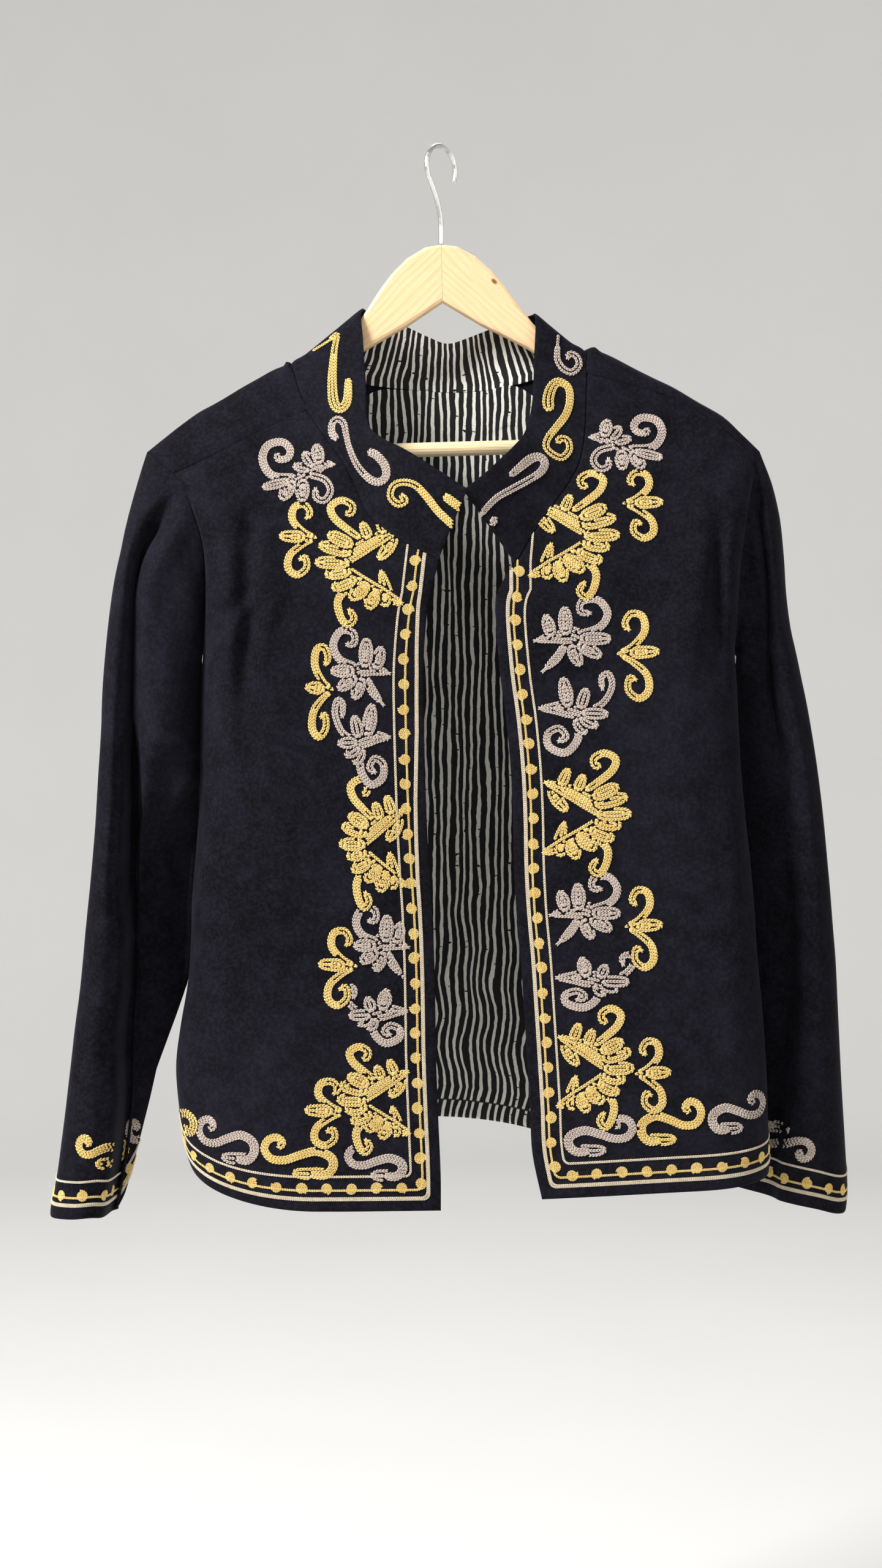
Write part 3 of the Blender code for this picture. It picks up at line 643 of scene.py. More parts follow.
@dataclass(frozen=True)
class Crease:
    """A soft ridge, or a trough where its height is negative, between two points seen in front.

    The points are pixels of the photograph. A crease lies on the front or on the back half. Its
    width and height are millimetres. Past FULL of its half length it tapers off.
    """

    FULL = 0.35
    SIDE_STEEPNESS = 3
    SIDE_START = 0.4

    start: Pair
    end: Pair
    width: float
    height: float
    behind: bool = False

    def lift(self, points: Array, facing: Array) -> Array:
        """How far the crease raises the cloth at each point.

        Args:
            points: The cloth's points.
            facing: The Y part of its outward normals.

        Returns:
            A height for each point.
        """
        a, b = seen(self.start), seen(self.end)
        flat = points[..., [0, 2]]
        run = b - a
        share = np.clip(((flat - a) @ run) / (run @ run), 0.0, 1.0)
        off = np.linalg.norm(flat - (a + share[..., None] * run), axis=-1)
        past = np.abs(share - 0.5) * 2
        taper = 1 - np.clip((past - self.FULL) / (1 - self.FULL), 0, 1) ** 2
        side = facing if self.behind else -facing
        mask = np.clip(side * self.SIDE_STEEPNESS + self.SIDE_START, 0, 1)
        return self.height * MM * np.exp(-((off / (self.width * MM)) ** 2)) * taper * mask


def seen(pixel: Pair, depth: float = FRONT_Y) -> Array:
    """The place in the X-Z plane of a pixel of the photograph.

    Args:
        pixel: The pixel.
        depth: The place's Y.

    Returns:
        X and Z.
    """
    reach = PIXEL * (CAMERA_DISTANCE + depth) / CAMERA_DISTANCE
    x = (pixel[0] - HOOK_PIXEL[0]) * reach
    z = CAMERA_Z - (pixel[1] - PHOTO_HEIGHT / 2) * reach
    return np.array([x, z])


# The lining's printed stripes: how they draw together up the collar and wave over the low back. The
# collar's lie far above the height where the back lining's hem fold is printed.
COLLAR_STRIPE_FAN = 5.6
COLLAR_FAN_START = 0.006
COLLAR_HEIGHT_SHIFT = 1.0
LINING_WAVE_TOP = -0.52
LINING_WAVE_FADE = 0.2
LINING_WAVE = 0.052
LINING_WAVE_SLANT = 14
LINING_SWAY = 0.0026


def placed(name: str, data: Any) -> bpy.types.Object:
    """A new object in the scene for a mesh, camera or light."""
    made = bpy.data.objects.new(name, data)
    bpy.context.scene.collection.objects.link(made)
    return made


class Cloth:
    """A fine grid of a cloth piece: its points, its outward normals and its uncreased places."""

    EDGE_PLACES = (0.0, 0.05, 0.13, 0.28, 0.5, 0.75)
    WIDE_FALL = (14, 9, 6)
    SMALL_FALL = (45, 30, 26)
    SMALL_SHARE = 0.35
    HEM_SPANS = 0.3
    SEWN_SPANS = 0.9
    SEWN_EASE = 1.5

    def __init__(self, wall: Wall, row_cuts: int, column_cuts: int) -> None:
        """Refines a wall's grid.

        Args:
            wall: The wall that the cloth follows.
            row_cuts: Fine rows for each of the wall's.
            column_cuts: Fine columns for each of the wall's.
        """
        self.wall = wall
        coarse = wall.sewn()
        self.coarse = coarse
        rows, columns = coarse.shape[:2]
        self.row_at = self._places(rows - 1, row_cuts)
        if wall.ring:
            self.column_at = np.arange(columns * column_cuts) / column_cuts
        else:
            self.column_at = self._places(columns - 1, column_cuts)
        fine = follow(coarse, self.row_at)
        fine = follow(fine.transpose(1, 0, 2), self.column_at, wall.ring).transpose(1, 0, 2)
        self.points = fine
        self.rest = fine.copy()
        self.sign = 1.0
        self.sign = 1.0 if self._points_out() else -1.0

    def _places(self, spans: int, cuts: int) -> Array:
        """Fractional places along an edge, closer together at its ends."""
        inner = np.arange(cuts, (spans - 1) * cuts + 1) / cuts
        ends = np.array(self.EDGE_PLACES)
        return np.concatenate([ends, inner, spans - ends[::-1]])

    def normals(self) -> Array:
        """The outward normals at the points."""
        along = np.gradient(self.points, axis=0)
        if self.wall.ring:
            padded = np.concatenate([self.points[:, -1:], self.points, self.points[:, :1]], axis=1)
            across = np.gradient(padded, axis=1)[:, 1:-1]
        else:
            across = np.gradient(self.points, axis=1)
        return unit(np.cross(across, along)) * self.sign

    def _points_out(self) -> bool:
        """Whether the normals point away from the piece's middle."""
        away = self.points - np.array(self.wall.middle)
        away[..., 2] = 0
        return self.wall.facing * float(np.sum(self.normals() * away)) > 0

    @staticmethod
    def _edge_fade(places: Array, spans: int) -> Array:
        """Zero at both ends of an axis and one from a span in."""
        return np.clip(np.minimum(places, spans - places), 0, 1)

    def crease(self, creases: Sequence[Crease], ripple: float, seed: float) -> None:
        """Raises the cloth along creases and gives it a faint uneven fall.

        Args:
            creases: The creases.
            ripple: The uneven fall's height in millimetres.
            seed: Where its noise is read, so that pieces differ.
        """
        normals = self.normals()
        rows, columns = self.coarse.shape[:2]
        fade = self._edge_fade(self.row_at, rows - 1)[:, None]
        if not self.wall.ring:
            fade = fade * self._edge_fade(self.column_at, columns - 1)[None, :]
        lift = np.zeros(self.points.shape[:2])
        for item in creases:
            lift += item.lift(self.points, normals[..., 1])
        for place in np.ndindex(lift.shape):
            wide = noise.noise(Vector(self.points[place] * self.WIDE_FALL + (seed, 0, 0)))
            small = noise.noise(Vector(self.points[place] * self.SMALL_FALL + (0, seed, 0)))
            lift[place] += ripple * MM * (wide + self.SMALL_SHARE * small)
        self.points = self.points + normals * (lift * fade)[..., None]

    def hem(self, rows: Sequence[int] = (), columns: Sequence[int] = (), roll: float = 0.0007) -> None:
        """Rounds edges over, as turned-in hems are: 0 is the first row or column, -1 the last.

        Args:
            rows: The rows that are hems.
            columns: The columns that are hems.
            roll: How far the edge turns in.
        """
        normals = self.normals()
        row_count, column_count = self.coarse.shape[:2]
        drop = np.zeros(self.points.shape[:2])
        for row in rows:
            drop += self._turned_in(self.row_at, row_count - 1, row)[:, None]
        for column in columns:
            drop += self._turned_in(self.column_at, column_count - 1, column)[None, :]
        self.points = self.points - normals * (np.clip(drop, 0, 1) * roll)[..., None]

    def _turned_in(self, places: Array, spans: int, end: int) -> Array:
        """How far a hem at an axis's first end, or its last, turns in: one at the edge."""
        away = places if end == 0 else spans - places
        return np.clip(1 - away / self.HEM_SPANS, 0, 1) ** 2

    def settle(self, pixels: Sequence[Pair], drop: float, reach: float) -> None:
        """Lets the cloth sink about some pixels of the photograph.

        Args:
            pixels: The pixels.
            drop: How far it sinks there.
            reach: How far from them it sinks.
        """
        for pixel in pixels:
            away = np.linalg.norm(self.points[..., [0, 2]] - seen(pixel, 0.0), axis=-1)
            self.points[..., 2] -= drop * np.exp(-((away / reach) ** 2))

    def sew(self, seams: Sequence[Array], proud: float = 0.0) -> None:
        """Puts the first row on the nearest points of other pieces' edges.

        Args:
            seams: The edges' points.
            proud: How far outside them it lies.
        """
        ends = []
        for point in self.points[0]:
            spots = [nearest_on_line(point, seam) for seam in seams]
            ends.append(min(spots, key=lambda spot: float(np.linalg.norm(spot - point))))
        shift = np.array(ends) - self.points[0] + self.normals()[0] * proud
        share = np.clip(1 - self.row_at / self.SEWN_SPANS, 0, 1) ** self.SEWN_EASE
        self.points = self.points + share[:, None, None] * shift[None]

    def locate(self, across: float, up: float) -> Array:
        """The point at these lengths of cloth from the first column and the first row.

        Args:
            across: Metres from the first column, along the row.
            up: Metres from the first row, along the column.

        Returns:
            The point.
        """
        points = self.points
        last_row, last_column = points.shape[0] - 1, points.shape[1] - 1
        i = self._place_at(points[:, 0], up)
        for _ in range(3):
            j = self._place_at(points[min(round(i), last_row)], across)
            i = self._place_at(points[:, min(round(j), last_column)], up)
        return self._blend(points, i, j)

    @staticmethod
    def _blend(values: Array, i: float, j: float) -> Array:
        """A value between four neighbours."""
        rows, columns = values.shape[:2]
        a, b = min(int(i), rows - 2), min(int(j), columns - 2)
        u, v = i - a, j - b
        low = values[a, b] * (1 - v) + values[a, b + 1] * v
        high = values[a + 1, b] * (1 - v) + values[a + 1, b + 1] * v
        return low * (1 - u) + high * u

    @staticmethod
    def _place_at(line: Array, length: float) -> float:
        """The fractional place at a length along a row or column."""
        lengths = running_length(line)
        return float(np.interp(length, lengths, np.arange(len(lengths))))

    def tree(self) -> BVHTree:
        """A search tree of the outer face."""
        return BVHTree.FromPolygons([Vector(p) for p in self.points.reshape(-1, 3)], self.faces())

    def faces(self) -> list[tuple[int, ...]]:
        """The outer face's quads, turned outward."""
        rows, columns = self.points.shape[:2]
        spans = columns if self.wall.ring else columns - 1
        quads = [
            (i * columns + j, i * columns + (j + 1) % columns,
             (i + 1) * columns + (j + 1) % columns, (i + 1) * columns + j)
            for i in range(rows - 1) for j in range(spans)
        ]
        return quads if self.sign > 0 else [quad[::-1] for quad in quads]

    def build(self, name: str, thickness: float, outer: Any, inner: Any) -> bpy.types.Object:
        """Makes the shell, with a UV map in metres of cloth.

        Args:
            name: The piece's name.
            thickness: The shell's thickness.
            outer: Material of the outer face.
            inner: Material of the inner face.

        Returns:
            The object.
        """
        mesh = bpy.data.meshes.new(name)
        mesh.from_pydata(self.points.reshape(-1, 3).tolist(), [], self.faces())
        mesh.materials.append(outer)
        mesh.materials.append(inner)
        layer = mesh.uv_layers.new(name="cloth")
        places = self._cloth_places()
        corners = np.empty(len(mesh.loops), dtype=np.int64)
        mesh.loops.foreach_get("vertex_index", corners)
        spread = places.reshape(-1, 2)[corners]
        if self.wall.ring:
            width = places[:, -1, 0].max()
            ends = spread.reshape(-1, 4, 2)
            wraps = (ends[..., 0].max(axis=1) - ends[..., 0].min(axis=1)) > width / 2
            low = ends[..., 0] < width / 2
            ends[..., 0] += np.where(wraps[:, None] & low, width, 0.0)
        layer.data.foreach_set("uv", spread.reshape(-1).astype(np.float32))
        mesh.shade_smooth()
        piece = placed(name, mesh)
        solid = piece.modifiers.new("thickness", "SOLIDIFY")
        solid.thickness = thickness
        solid.offset = -1.0
        solid.material_offset = 1
        solid.use_even_offset = False
        apply_modifiers(piece)
        return piece

    def _cloth_places(self) -> Array:
        """Where each point lies on the cloth: across and up from its hem, in metres."""
        up = np.array([running_length(line) for line in self.rest.transpose(1, 0, 2)]).T
        if self.wall.ring:
            across = np.array([running_length(row) for row in self.rest])
            across = np.broadcast_to(across.mean(axis=0)[None], across.shape)
        elif self.wall.node == "collar_lining":
            fan = COLLAR_STRIPE_FAN * np.clip(up - COLLAR_FAN_START, 0, None)
            across = self.rest[..., 0] * (1 + fan)
            up = up + COLLAR_HEIGHT_SHIFT
        else:
            low = np.clip((LINING_WAVE_TOP - self.rest[..., 2]) / LINING_WAVE_FADE, 0, 1)
            slant = self.rest[..., 0] * LINING_WAVE_SLANT
            wave = np.sin(self.rest[..., 2] * 2 * math.pi / LINING_WAVE + slant)
            across = self.rest[..., 0] + LINING_SWAY * low * wave
        return np.stack([across, up], axis=-1)

    def cut(self) -> Pair:
        """The width and length of the rectangle that the piece is cut from, seams left out."""
        points = self._joined()
        width = max(running_length(row)[-1] for row in points)
        length = max(running_length(line)[-1] for line in points.transpose(1, 0, 2))
        return round(float(width), 3), round(float(length), 3)

    def area(self) -> float:
        """The cloth's area."""
        points = self._joined()
        a = points[1:, :-1] - points[:-1, :-1]
        b = points[:-1, 1:] - points[:-1, :-1]
        return float(np.linalg.norm(np.cross(a, b), axis=-1).sum())

    def _joined(self) -> Array:
        """The points, with a ring's first column again as its last."""
        points = self.points
        return np.concatenate([points, points[:, :1]], axis=1) if self.wall.ring else points


def apply_modifiers(piece: bpy.types.Object) -> None:
    """Applies a piece's modifiers."""
    bpy.ops.object.select_all(action="DESELECT")
    bpy.context.view_layer.objects.active = piece
    piece.select_set(True)
    for modifier in list(piece.modifiers):
        bpy.ops.object.modifier_apply(modifier=modifier.name)
    piece.select_set(False)


RIGHT_FRONT_CREASES = (
    Crease((372, 850), (392, 1290), 9, 1.6),
    Crease((408, 800), (402, 1210), 7, -1.8),
    Crease((428, 840), (431, 1160), 9, 1.2),
    Crease((470, 1000), (455, 1500), 16, 0.9),
    Crease((352, 1300), (372, 1560), 12, 1.2),
    Crease((330, 1640), (318, 1860), 14, 1.4),
    Crease((420, 1560), (398, 1900), 18, -1.3),
    Crease((500, 1500), (520, 1900), 20, 0.9),
    Crease((300, 760), (420, 800), 8, 1.0),
    Crease((330, 880), (480, 840), 10, -0.9),
    Crease((600, 1150), (620, 1700), 18, 0.6),
)
LEFT_FRONT_CREASES = (
    Crease((1155, 790), (1128, 1100), 10, 1.6),
    Crease((1178, 800), (1165, 1120), 7, -1.7),
    Crease((1100, 1250), (1120, 1650), 18, 1.1),
    Crease((1190, 1180), (1222, 1560), 8, 1.2),
    Crease((1160, 1500), (1190, 1880), 16, -1.4),
    Crease((1216, 1600), (1236, 1890), 12, 1.2),
    Crease((1050, 1560), (1030, 1900), 20, 0.9),
    Crease((960, 1100), (980, 1600), 22, 0.7),
    Crease((1085, 720), (1180, 760), 9, 0.9),
    Crease((1060, 860), (1160, 900), 10, -0.8),
)
BACK_CREASES = (
    Crease((420, 900), (400, 1500), 16, 2.0, True),
    Crease((560, 1100), (600, 1850), 20, -2.2, True),
    Crease((760, 1000), (740, 1800), 24, 2.0, True),
    Crease((930, 1200), (960, 1850), 18, -2.0, True),
    Crease((1080, 900), (1110, 1500), 18, 2.2, True),
    Crease((520, 760), (640, 1000), 14, 1.4, True),
    Crease((1050, 760), (940, 1000), 14, 1.4, True),
)
RIGHT_SLEEVE_CREASES = (
    Crease((236, 1204), (312, 1230), 5, 4.4),
    Crease((302, 1244), (248, 1352), 5, 5.0),
    Crease((232, 1256), (280, 1262), 6, -1.6),
    Crease((211, 1170), (214, 1420), 4, -4.4),
    Crease((296, 1330), (272, 1660), 14, -4.4),
    Crease((244, 1370), (262, 1470), 4, 2.0),
    Crease((170, 1290), (204, 1330), 8, 1.6),
    Crease((176, 1400), (206, 1470), 9, -1.8),
    Crease((160, 1500), (196, 1560), 10, 1.8),
    Crease((150, 1660), (192, 1740), 12, -1.6),
    Crease((270, 860), (322, 1010), 6, 2.2),
    Crease((200, 900), (182, 1180), 12, 1.6),
    Crease((222, 800), (262, 900), 8, -1.8),
    Crease((150, 1000), (300, 1300), 16, 1.8, True),
    Crease((140, 1400), (240, 1500), 14, -1.8, True),
    Crease((130, 1600), (220, 1720), 14, 1.6, True),
)
LEFT_SLEEVE_CREASES = (
    Crease((1292, 1030), (1302, 1210), 7, 1.6),
    Crease((1302, 1200), (1340, 1430), 8, 1.5),
    Crease((1336, 1420), (1350, 1640), 8, 1.6),
    Crease((1350, 1640), (1362, 1850), 9, 1.3),
    Crease((1242, 1018), (1290, 1060), 7, 1.5),
    Crease((1250, 1080), (1270, 1260), 8, -1.6),
    Crease((1222, 800), (1206, 1030), 6, -2.0),
    Crease((1240, 830), (1262, 960), 9, 1.2),
    Crease((1262, 1640), (1322, 1810), 10, 1.5),
    Crease((1268, 1420), (1310, 1560), 10, -1.4),
    Crease((1300, 1000), (1260, 1300), 16, 1.8, True),
    Crease((1330, 1400), (1270, 1520), 14, -1.8, True),
    Crease((1350, 1600), (1280, 1720), 14, 1.6, True),
)
LINING_CREASES = (
    Crease((760, 1250), (735, 1560), 9, -2.0),
    Crease((800, 1330), (812, 1640), 8, 1.8),
    Crease((736, 1560), (762, 1770), 8, 2.4),
    Crease((790, 1600), (786, 1800), 7, -2.6),
    Crease((838, 1560), (830, 1800), 8, 2.2),
    Crease((720, 1100), (726, 1400), 12, 1.2),
    Crease((860, 1380), (858, 1820), 9, -1.8),
    Crease((690, 1500), (700, 1800), 10, -1.6),
)


@dataclass(frozen=True)
class Stroke:
    """A stretch of raised embroidery: its middle line and its widths, evenly spaced along it.

    The line's points are shares of a motif's box, from its outer side to the front edge and from
    its bottom to its top, or pixels of the photograph where the stroke is on its own. The widths
    are millimetres. A loop is laid where LOOP_FROM of a row's pitch is left beside the middle line,
    and a single row where less is left, down to MIDDLE_FROM.
    """

    SAMPLES = 16
    FINE = 0.4 * MM
    LOOP_FROM = 0.4
    MIDDLE_FROM = -0.35

    path: tuple[Pair, ...]
    widths: tuple[float, ...]

    def rows(self, line: Array, pitch: float) -> list[Array]:
        """Lays rows of stitches as loops, one inside another.

        Args:
            line: The middle line in metres, seen from the front.
            pitch: The distance between rows.

        Returns:
            The rows.
        """
        places = np.linspace(0, len(line) - 1, self.SAMPLES * len(line))
        points = evenly(follow(line, places), self.FINE)
        lengths = running_length(points)
        share = lengths / lengths[-1]
        half = np.interp(share, np.linspace(0, 1, len(self.widths)), self.widths) * MM / 2
        for radius, away in ((half[0], lengths), (half[-1], lengths[-1] - lengths)):
            inside = np.clip(radius - away, 0, None)
            rounded = np.sqrt(np.clip(radius**2 - inside**2, 0, None))
            half = np.where(inside > 0, np.minimum(half, rounded), half)
        along = unit(np.gradient(points, axis=0))
        aside = np.stack([-along[:, 1], along[:, 0]], axis=1)
        rows = []
        inset = pitch / 2
        while (half - inset).max() > self.MIDDLE_FROM * pitch:
            reach = half - inset
            kept = np.flatnonzero(reach > self.LOOP_FROM * pitch)
            if len(kept) > 2:
                run = slice(kept[0], kept[-1] + 1)
                shift = aside[run] * np.clip(reach[run], 0, None)[:, None]
                left, right = points[run] + shift, points[run] - shift
                rows.append(np.concatenate([left, right[::-1], left[:1]]))
            thin = (reach > self.MIDDLE_FROM * pitch) & (reach <= self.LOOP_FROM * pitch)
            middle = np.flatnonzero(thin)
            for part in np.split(middle, np.flatnonzero(np.diff(middle) > 1) + 1):
                if len(part) > 2:
                    rows.append(points[part[0] : part[-1] + 1])
            inset += pitch
        return rows or [points]


class Design(Enum):
    """The motifs' shapes, which repeat down each front."""

    FAN = "fan"
    TWO_CURLS = "two_curls"
    HIGH_LEAF = "high_leaf"
    LOW_LEAF = "low_leaf"
    FLEUR = "fleur"
    SCROLL = "scroll"


DESIGNS: dict[Design, tuple[Stroke, ...]] = {
    Design.FAN: (
        Stroke(((0.50, 0.70), (0.36, 0.77), (0.21, 0.86), (0.17, 0.95), (0.29, 1.0), (0.41, 0.96),
                (0.40, 0.90), (0.33, 0.90)), (5, 6, 6, 5.6, 5.6)),
        Stroke(((0.52, 0.38), (0.38, 0.31), (0.26, 0.21), (0.29, 0.08), (0.37, 0.02), (0.44, 0.07),
                (0.38, 0.14)), (5, 6, 6, 5.6, 5)),
        Stroke(((0.28, 0.50), (0.45, 0.585), (0.70, 0.69), (0.96, 0.765)), (10, 11.5, 10.5, 4)),
        Stroke(((0.30, 0.46), (0.48, 0.365), (0.72, 0.265), (0.98, 0.185)), (10, 11.5, 11.5, 5)),
        Stroke(((0.90, 0.72), (0.82, 0.62), (0.71, 0.53)), (8, 10, 7)),
        Stroke(((0.84, 0.20), (0.79, 0.31), (0.74, 0.44)), (10, 9, 5)),
        Stroke(((0.60, 0.70), (0.52, 0.83)), (9, 8, 6)),
        Stroke(((0.78, 0.74), (0.69, 0.88)), (9, 8, 6)),
        Stroke(((0.42, 0.64), (0.14, 0.735)), (8, 10, 10, 8)),
        Stroke(((0.40, 0.58), (0.04, 0.65)), (8, 10, 10, 8)),
        Stroke(((0.38, 0.50), (0.0, 0.51)), (8, 10, 10, 8)),
        Stroke(((0.40, 0.44), (0.11, 0.41)), (8, 10, 10, 8)),
        Stroke(((0.46, 0.38), (0.19, 0.30)), (8, 10, 10, 8)),
        Stroke(((0.60, 0.34), (0.39, 0.22)), (10, 12, 9)),
        Stroke(((0.68, 0.30), (0.60, 0.14)), (10, 12, 9)),
        Stroke(((0.78, 0.26), (0.79, 0.16)), (10, 12, 9)),
    ),
    Design.TWO_CURLS: (
        Stroke(((0.48, 0.41), (0.16, 0.45), (0.03, 0.70), (0.10, 0.92), (0.29, 0.97), (0.40, 0.85),
                (0.37, 0.72), (0.25, 0.70), (0.22, 0.80)), (6, 6.5, 6.5, 6, 5.5)),
        Stroke(((0.66, 0.45), (0.87, 0.37), (0.95, 0.20), (0.87, 0.05), (0.76, 0.09), (0.75, 0.24)),
               (5.5, 5.5, 5.5, 5)),
        Stroke(((1.0, 0.61), (0.82, 0.60), (0.60, 0.45), (0.40, 0.33)), (3, 11, 13, 10)),
        Stroke(((0.80, 0.62), (0.75, 0.93)), (9, 10, 8)),
        Stroke(((0.72, 0.58), (0.58, 0.81)), (8, 9, 7)),
        Stroke(((0.66, 0.53), (0.44, 0.60)), (8, 8, 6)),
        Stroke(((0.40, 0.36), (0.03, 0.25)), (6, 8, 6)),
        Stroke(((0.45, 0.36), (0.29, 0.06)), (9, 11, 9)),
        Stroke(((0.58, 0.38), (0.57, 0.03)), (9, 11, 9)),
    ),
    Design.HIGH_LEAF: (
        Stroke(((0.45, 0.50), (0.18, 0.60), (0.08, 0.78), (0.20, 0.95), (0.40, 0.93), (0.42, 0.80),
                (0.29, 0.78)), (6, 6, 6, 5.5, 5)),
        Stroke(((0.30, 0.35), (0.55, 0.50), (1.0, 0.42)), (11, 14, 3)),
        Stroke(((0.60, 0.50), (0.62, 0.86)), (9, 11, 8)),
        Stroke(((0.78, 0.48), (0.86, 0.76)), (9, 10, 7)),
        Stroke(((0.42, 0.45), (0.04, 0.45)), (9, 10, 8)),
        Stroke(((0.45, 0.38), (0.16, 0.22)), (9, 10, 8)),
        Stroke(((0.55, 0.36), (0.42, 0.10)), (9, 10, 8)),
        Stroke(((0.62, 0.36), (0.72, 0.20), (0.90, 0.02)), (6, 7, 3)),
    ),
    Design.LOW_LEAF: (
        Stroke(((0.40, 0.52), (0.17, 0.62), (0.05, 0.82), (0.09, 0.97), (0.18, 0.93), (0.17, 0.78)),
               (5, 5, 5, 4.5)),
        Stroke(((0.50, 0.45), (0.48, 0.20), (0.64, 0.03), (0.84, 0.10), (0.86, 0.25), (0.72, 0.32),
                (0.63, 0.22), (0.73, 0.16)), (6, 6, 6, 5.5, 5)),
        Stroke(((0.30, 0.45), (0.60, 0.55), (0.97, 0.56)), (11, 13, 4)),
        Stroke(((0.45, 0.56), (0.37, 0.80)), (9, 9, 7)),
        Stroke(((0.60, 0.58), (0.67, 0.93)), (9, 11, 7)),
        Stroke(((0.42, 0.50), (0.10, 0.49)), (8, 9, 7)),
        Stroke(((0.45, 0.45), (0.23, 0.34)), (8, 9, 7)),
        Stroke(((0.52, 0.42), (0.38, 0.25)), (8, 9, 7)),
    ),
    Design.FLEUR: (
        Stroke(((0.98, 0.52), (0.62, 0.62), (0.37, 0.78), (0.42, 0.95), (0.68, 0.98), (0.82, 0.87),
                (0.72, 0.79)), (4, 5.5, 6, 5.5, 5)),
        Stroke(((0.98, 0.52), (0.62, 0.42), (0.32, 0.28), (0.28, 0.10), (0.50, 0.01), (0.74, 0.10),
                (0.72, 0.24), (0.56, 0.22)), (4, 5.5, 6, 5.5, 5)),
        Stroke(((0.70, 0.53), (0.04, 0.55)), (8, 10, 9, 7)),
    ),
    Design.SCROLL: (
        Stroke(((0.66, 0.14), (0.84, 0.12), (0.95, 0.28), (0.93, 0.50), (0.74, 0.64), (0.52, 0.56),
                (0.32, 0.45), (0.14, 0.48), (0.05, 0.68), (0.10, 0.88), (0.22, 0.94), (0.29, 0.82),
                (0.22, 0.71)), (6, 7, 6.5, 6, 6, 5.5)),
        Stroke(((0.88, 0.20), (0.66, 0.15), (0.42, 0.17)), (5, 9, 9, 6)),
    ),
}


@dataclass(frozen=True)
class Motif:
    """A design, its thread and the pixels where it starts and ends: outer side, edge, top, bottom."""

    design: Design
    thread: Thread
    outer: float
    edge: float
    top: float
    bottom: float

    def line(self, stroke: Stroke) -> Array:
        """A stroke's middle line in metres, seen from the front."""
        return np.array([
            seen((self.outer + u * (self.edge - self.outer), self.bottom + v * (self.top - self.bottom)))
            for u, v in stroke.path
        ])


GOLD, MAUVE, CREAM = Thread.GOLD, Thread.MAUVE, Thread.CREAM

RIGHT_FRONT_MOTIFS = (
    Motif(Design.TWO_CURLS, MAUVE, 422, 545, 712, 820),
    Motif(Design.FLEUR, GOLD, 453, 517, 820, 940),
    Motif(Design.FAN, GOLD, 515, 660, 815, 1025),
    Motif(Design.HIGH_LEAF, MAUVE, 537, 637, 1025, 1155),
    Motif(Design.FLEUR, GOLD, 498, 545, 1055, 1205),
    Motif(Design.LOW_LEAF, MAUVE, 543, 640, 1140, 1285),
    Motif(Design.FAN, GOLD, 555, 665, 1273, 1485),
    Motif(Design.HIGH_LEAF, MAUVE, 575, 668, 1476, 1596),
    Motif(Design.FLEUR, GOLD, 519, 584, 1516, 1640),
    Motif(Design.LOW_LEAF, MAUVE, 560, 668, 1606, 1703),
    Motif(Design.FAN, GOLD, 552, 672, 1706, 1880),
    Motif(Design.FLEUR, GOLD, 497, 565, 1760, 1866),
    Motif(Design.SCROLL, GOLD, 256, 318, 1800, 1860),
    Motif(Design.SCROLL, MAUVE, 320, 422, 1822, 1900),
    Motif(Design.SCROLL, GOLD, 428, 551, 1848, 1922),
    Motif(Design.SCROLL, MAUVE, 565, 662, 1866, 1923),
)
LEFT_FRONT_MOTIFS = (
    Motif(Design.TWO_CURLS, MAUVE, 1090, 965, 670, 766),
    Motif(Design.FLEUR, GOLD, 1087, 1018, 766, 879),
    Motif(Design.FAN, GOLD, 1012, 861, 769, 980),
    Motif(Design.HIGH_LEAF, MAUVE, 1002, 872, 974, 1100),
    Motif(Design.FLEUR, GOLD, 1078, 1007, 1000, 1142),
    Motif(Design.LOW_LEAF, MAUVE, 1005, 876, 1097, 1233),
    Motif(Design.FAN, GOLD, 1029, 883, 1230, 1430),
    Motif(Design.HIGH_LEAF, MAUVE, 1016, 897, 1425, 1543),
    Motif(Design.FLEUR, GOLD, 1082, 1019, 1450, 1579),
    Motif(Design.LOW_LEAF, MAUVE, 1039, 903, 1555, 1645),
    Motif(Design.FAN, GOLD, 1033, 906, 1644, 1840),
    Motif(Design.FLEUR, GOLD, 1095, 1035, 1695, 1810),
    Motif(Design.SCROLL, MAUVE, 1036, 922, 1818, 1884),
    Motif(Design.SCROLL, GOLD, 1147, 1040, 1790, 1868),
    Motif(Design.SCROLL, MAUVE, 1251, 1156, 1781, 1849),
)
RIGHT_CUFF_MOTIFS = (
    Motif(Design.SCROLL, GOLD, 122, 191, 1858, 1913),
    Motif(Design.SCROLL, MAUVE, 191, 250, 1845, 1905),
)
LEFT_CUFF_MOTIFS = (Motif(Design.SCROLL, MAUVE, 1340, 1250, 1906, 1846),)
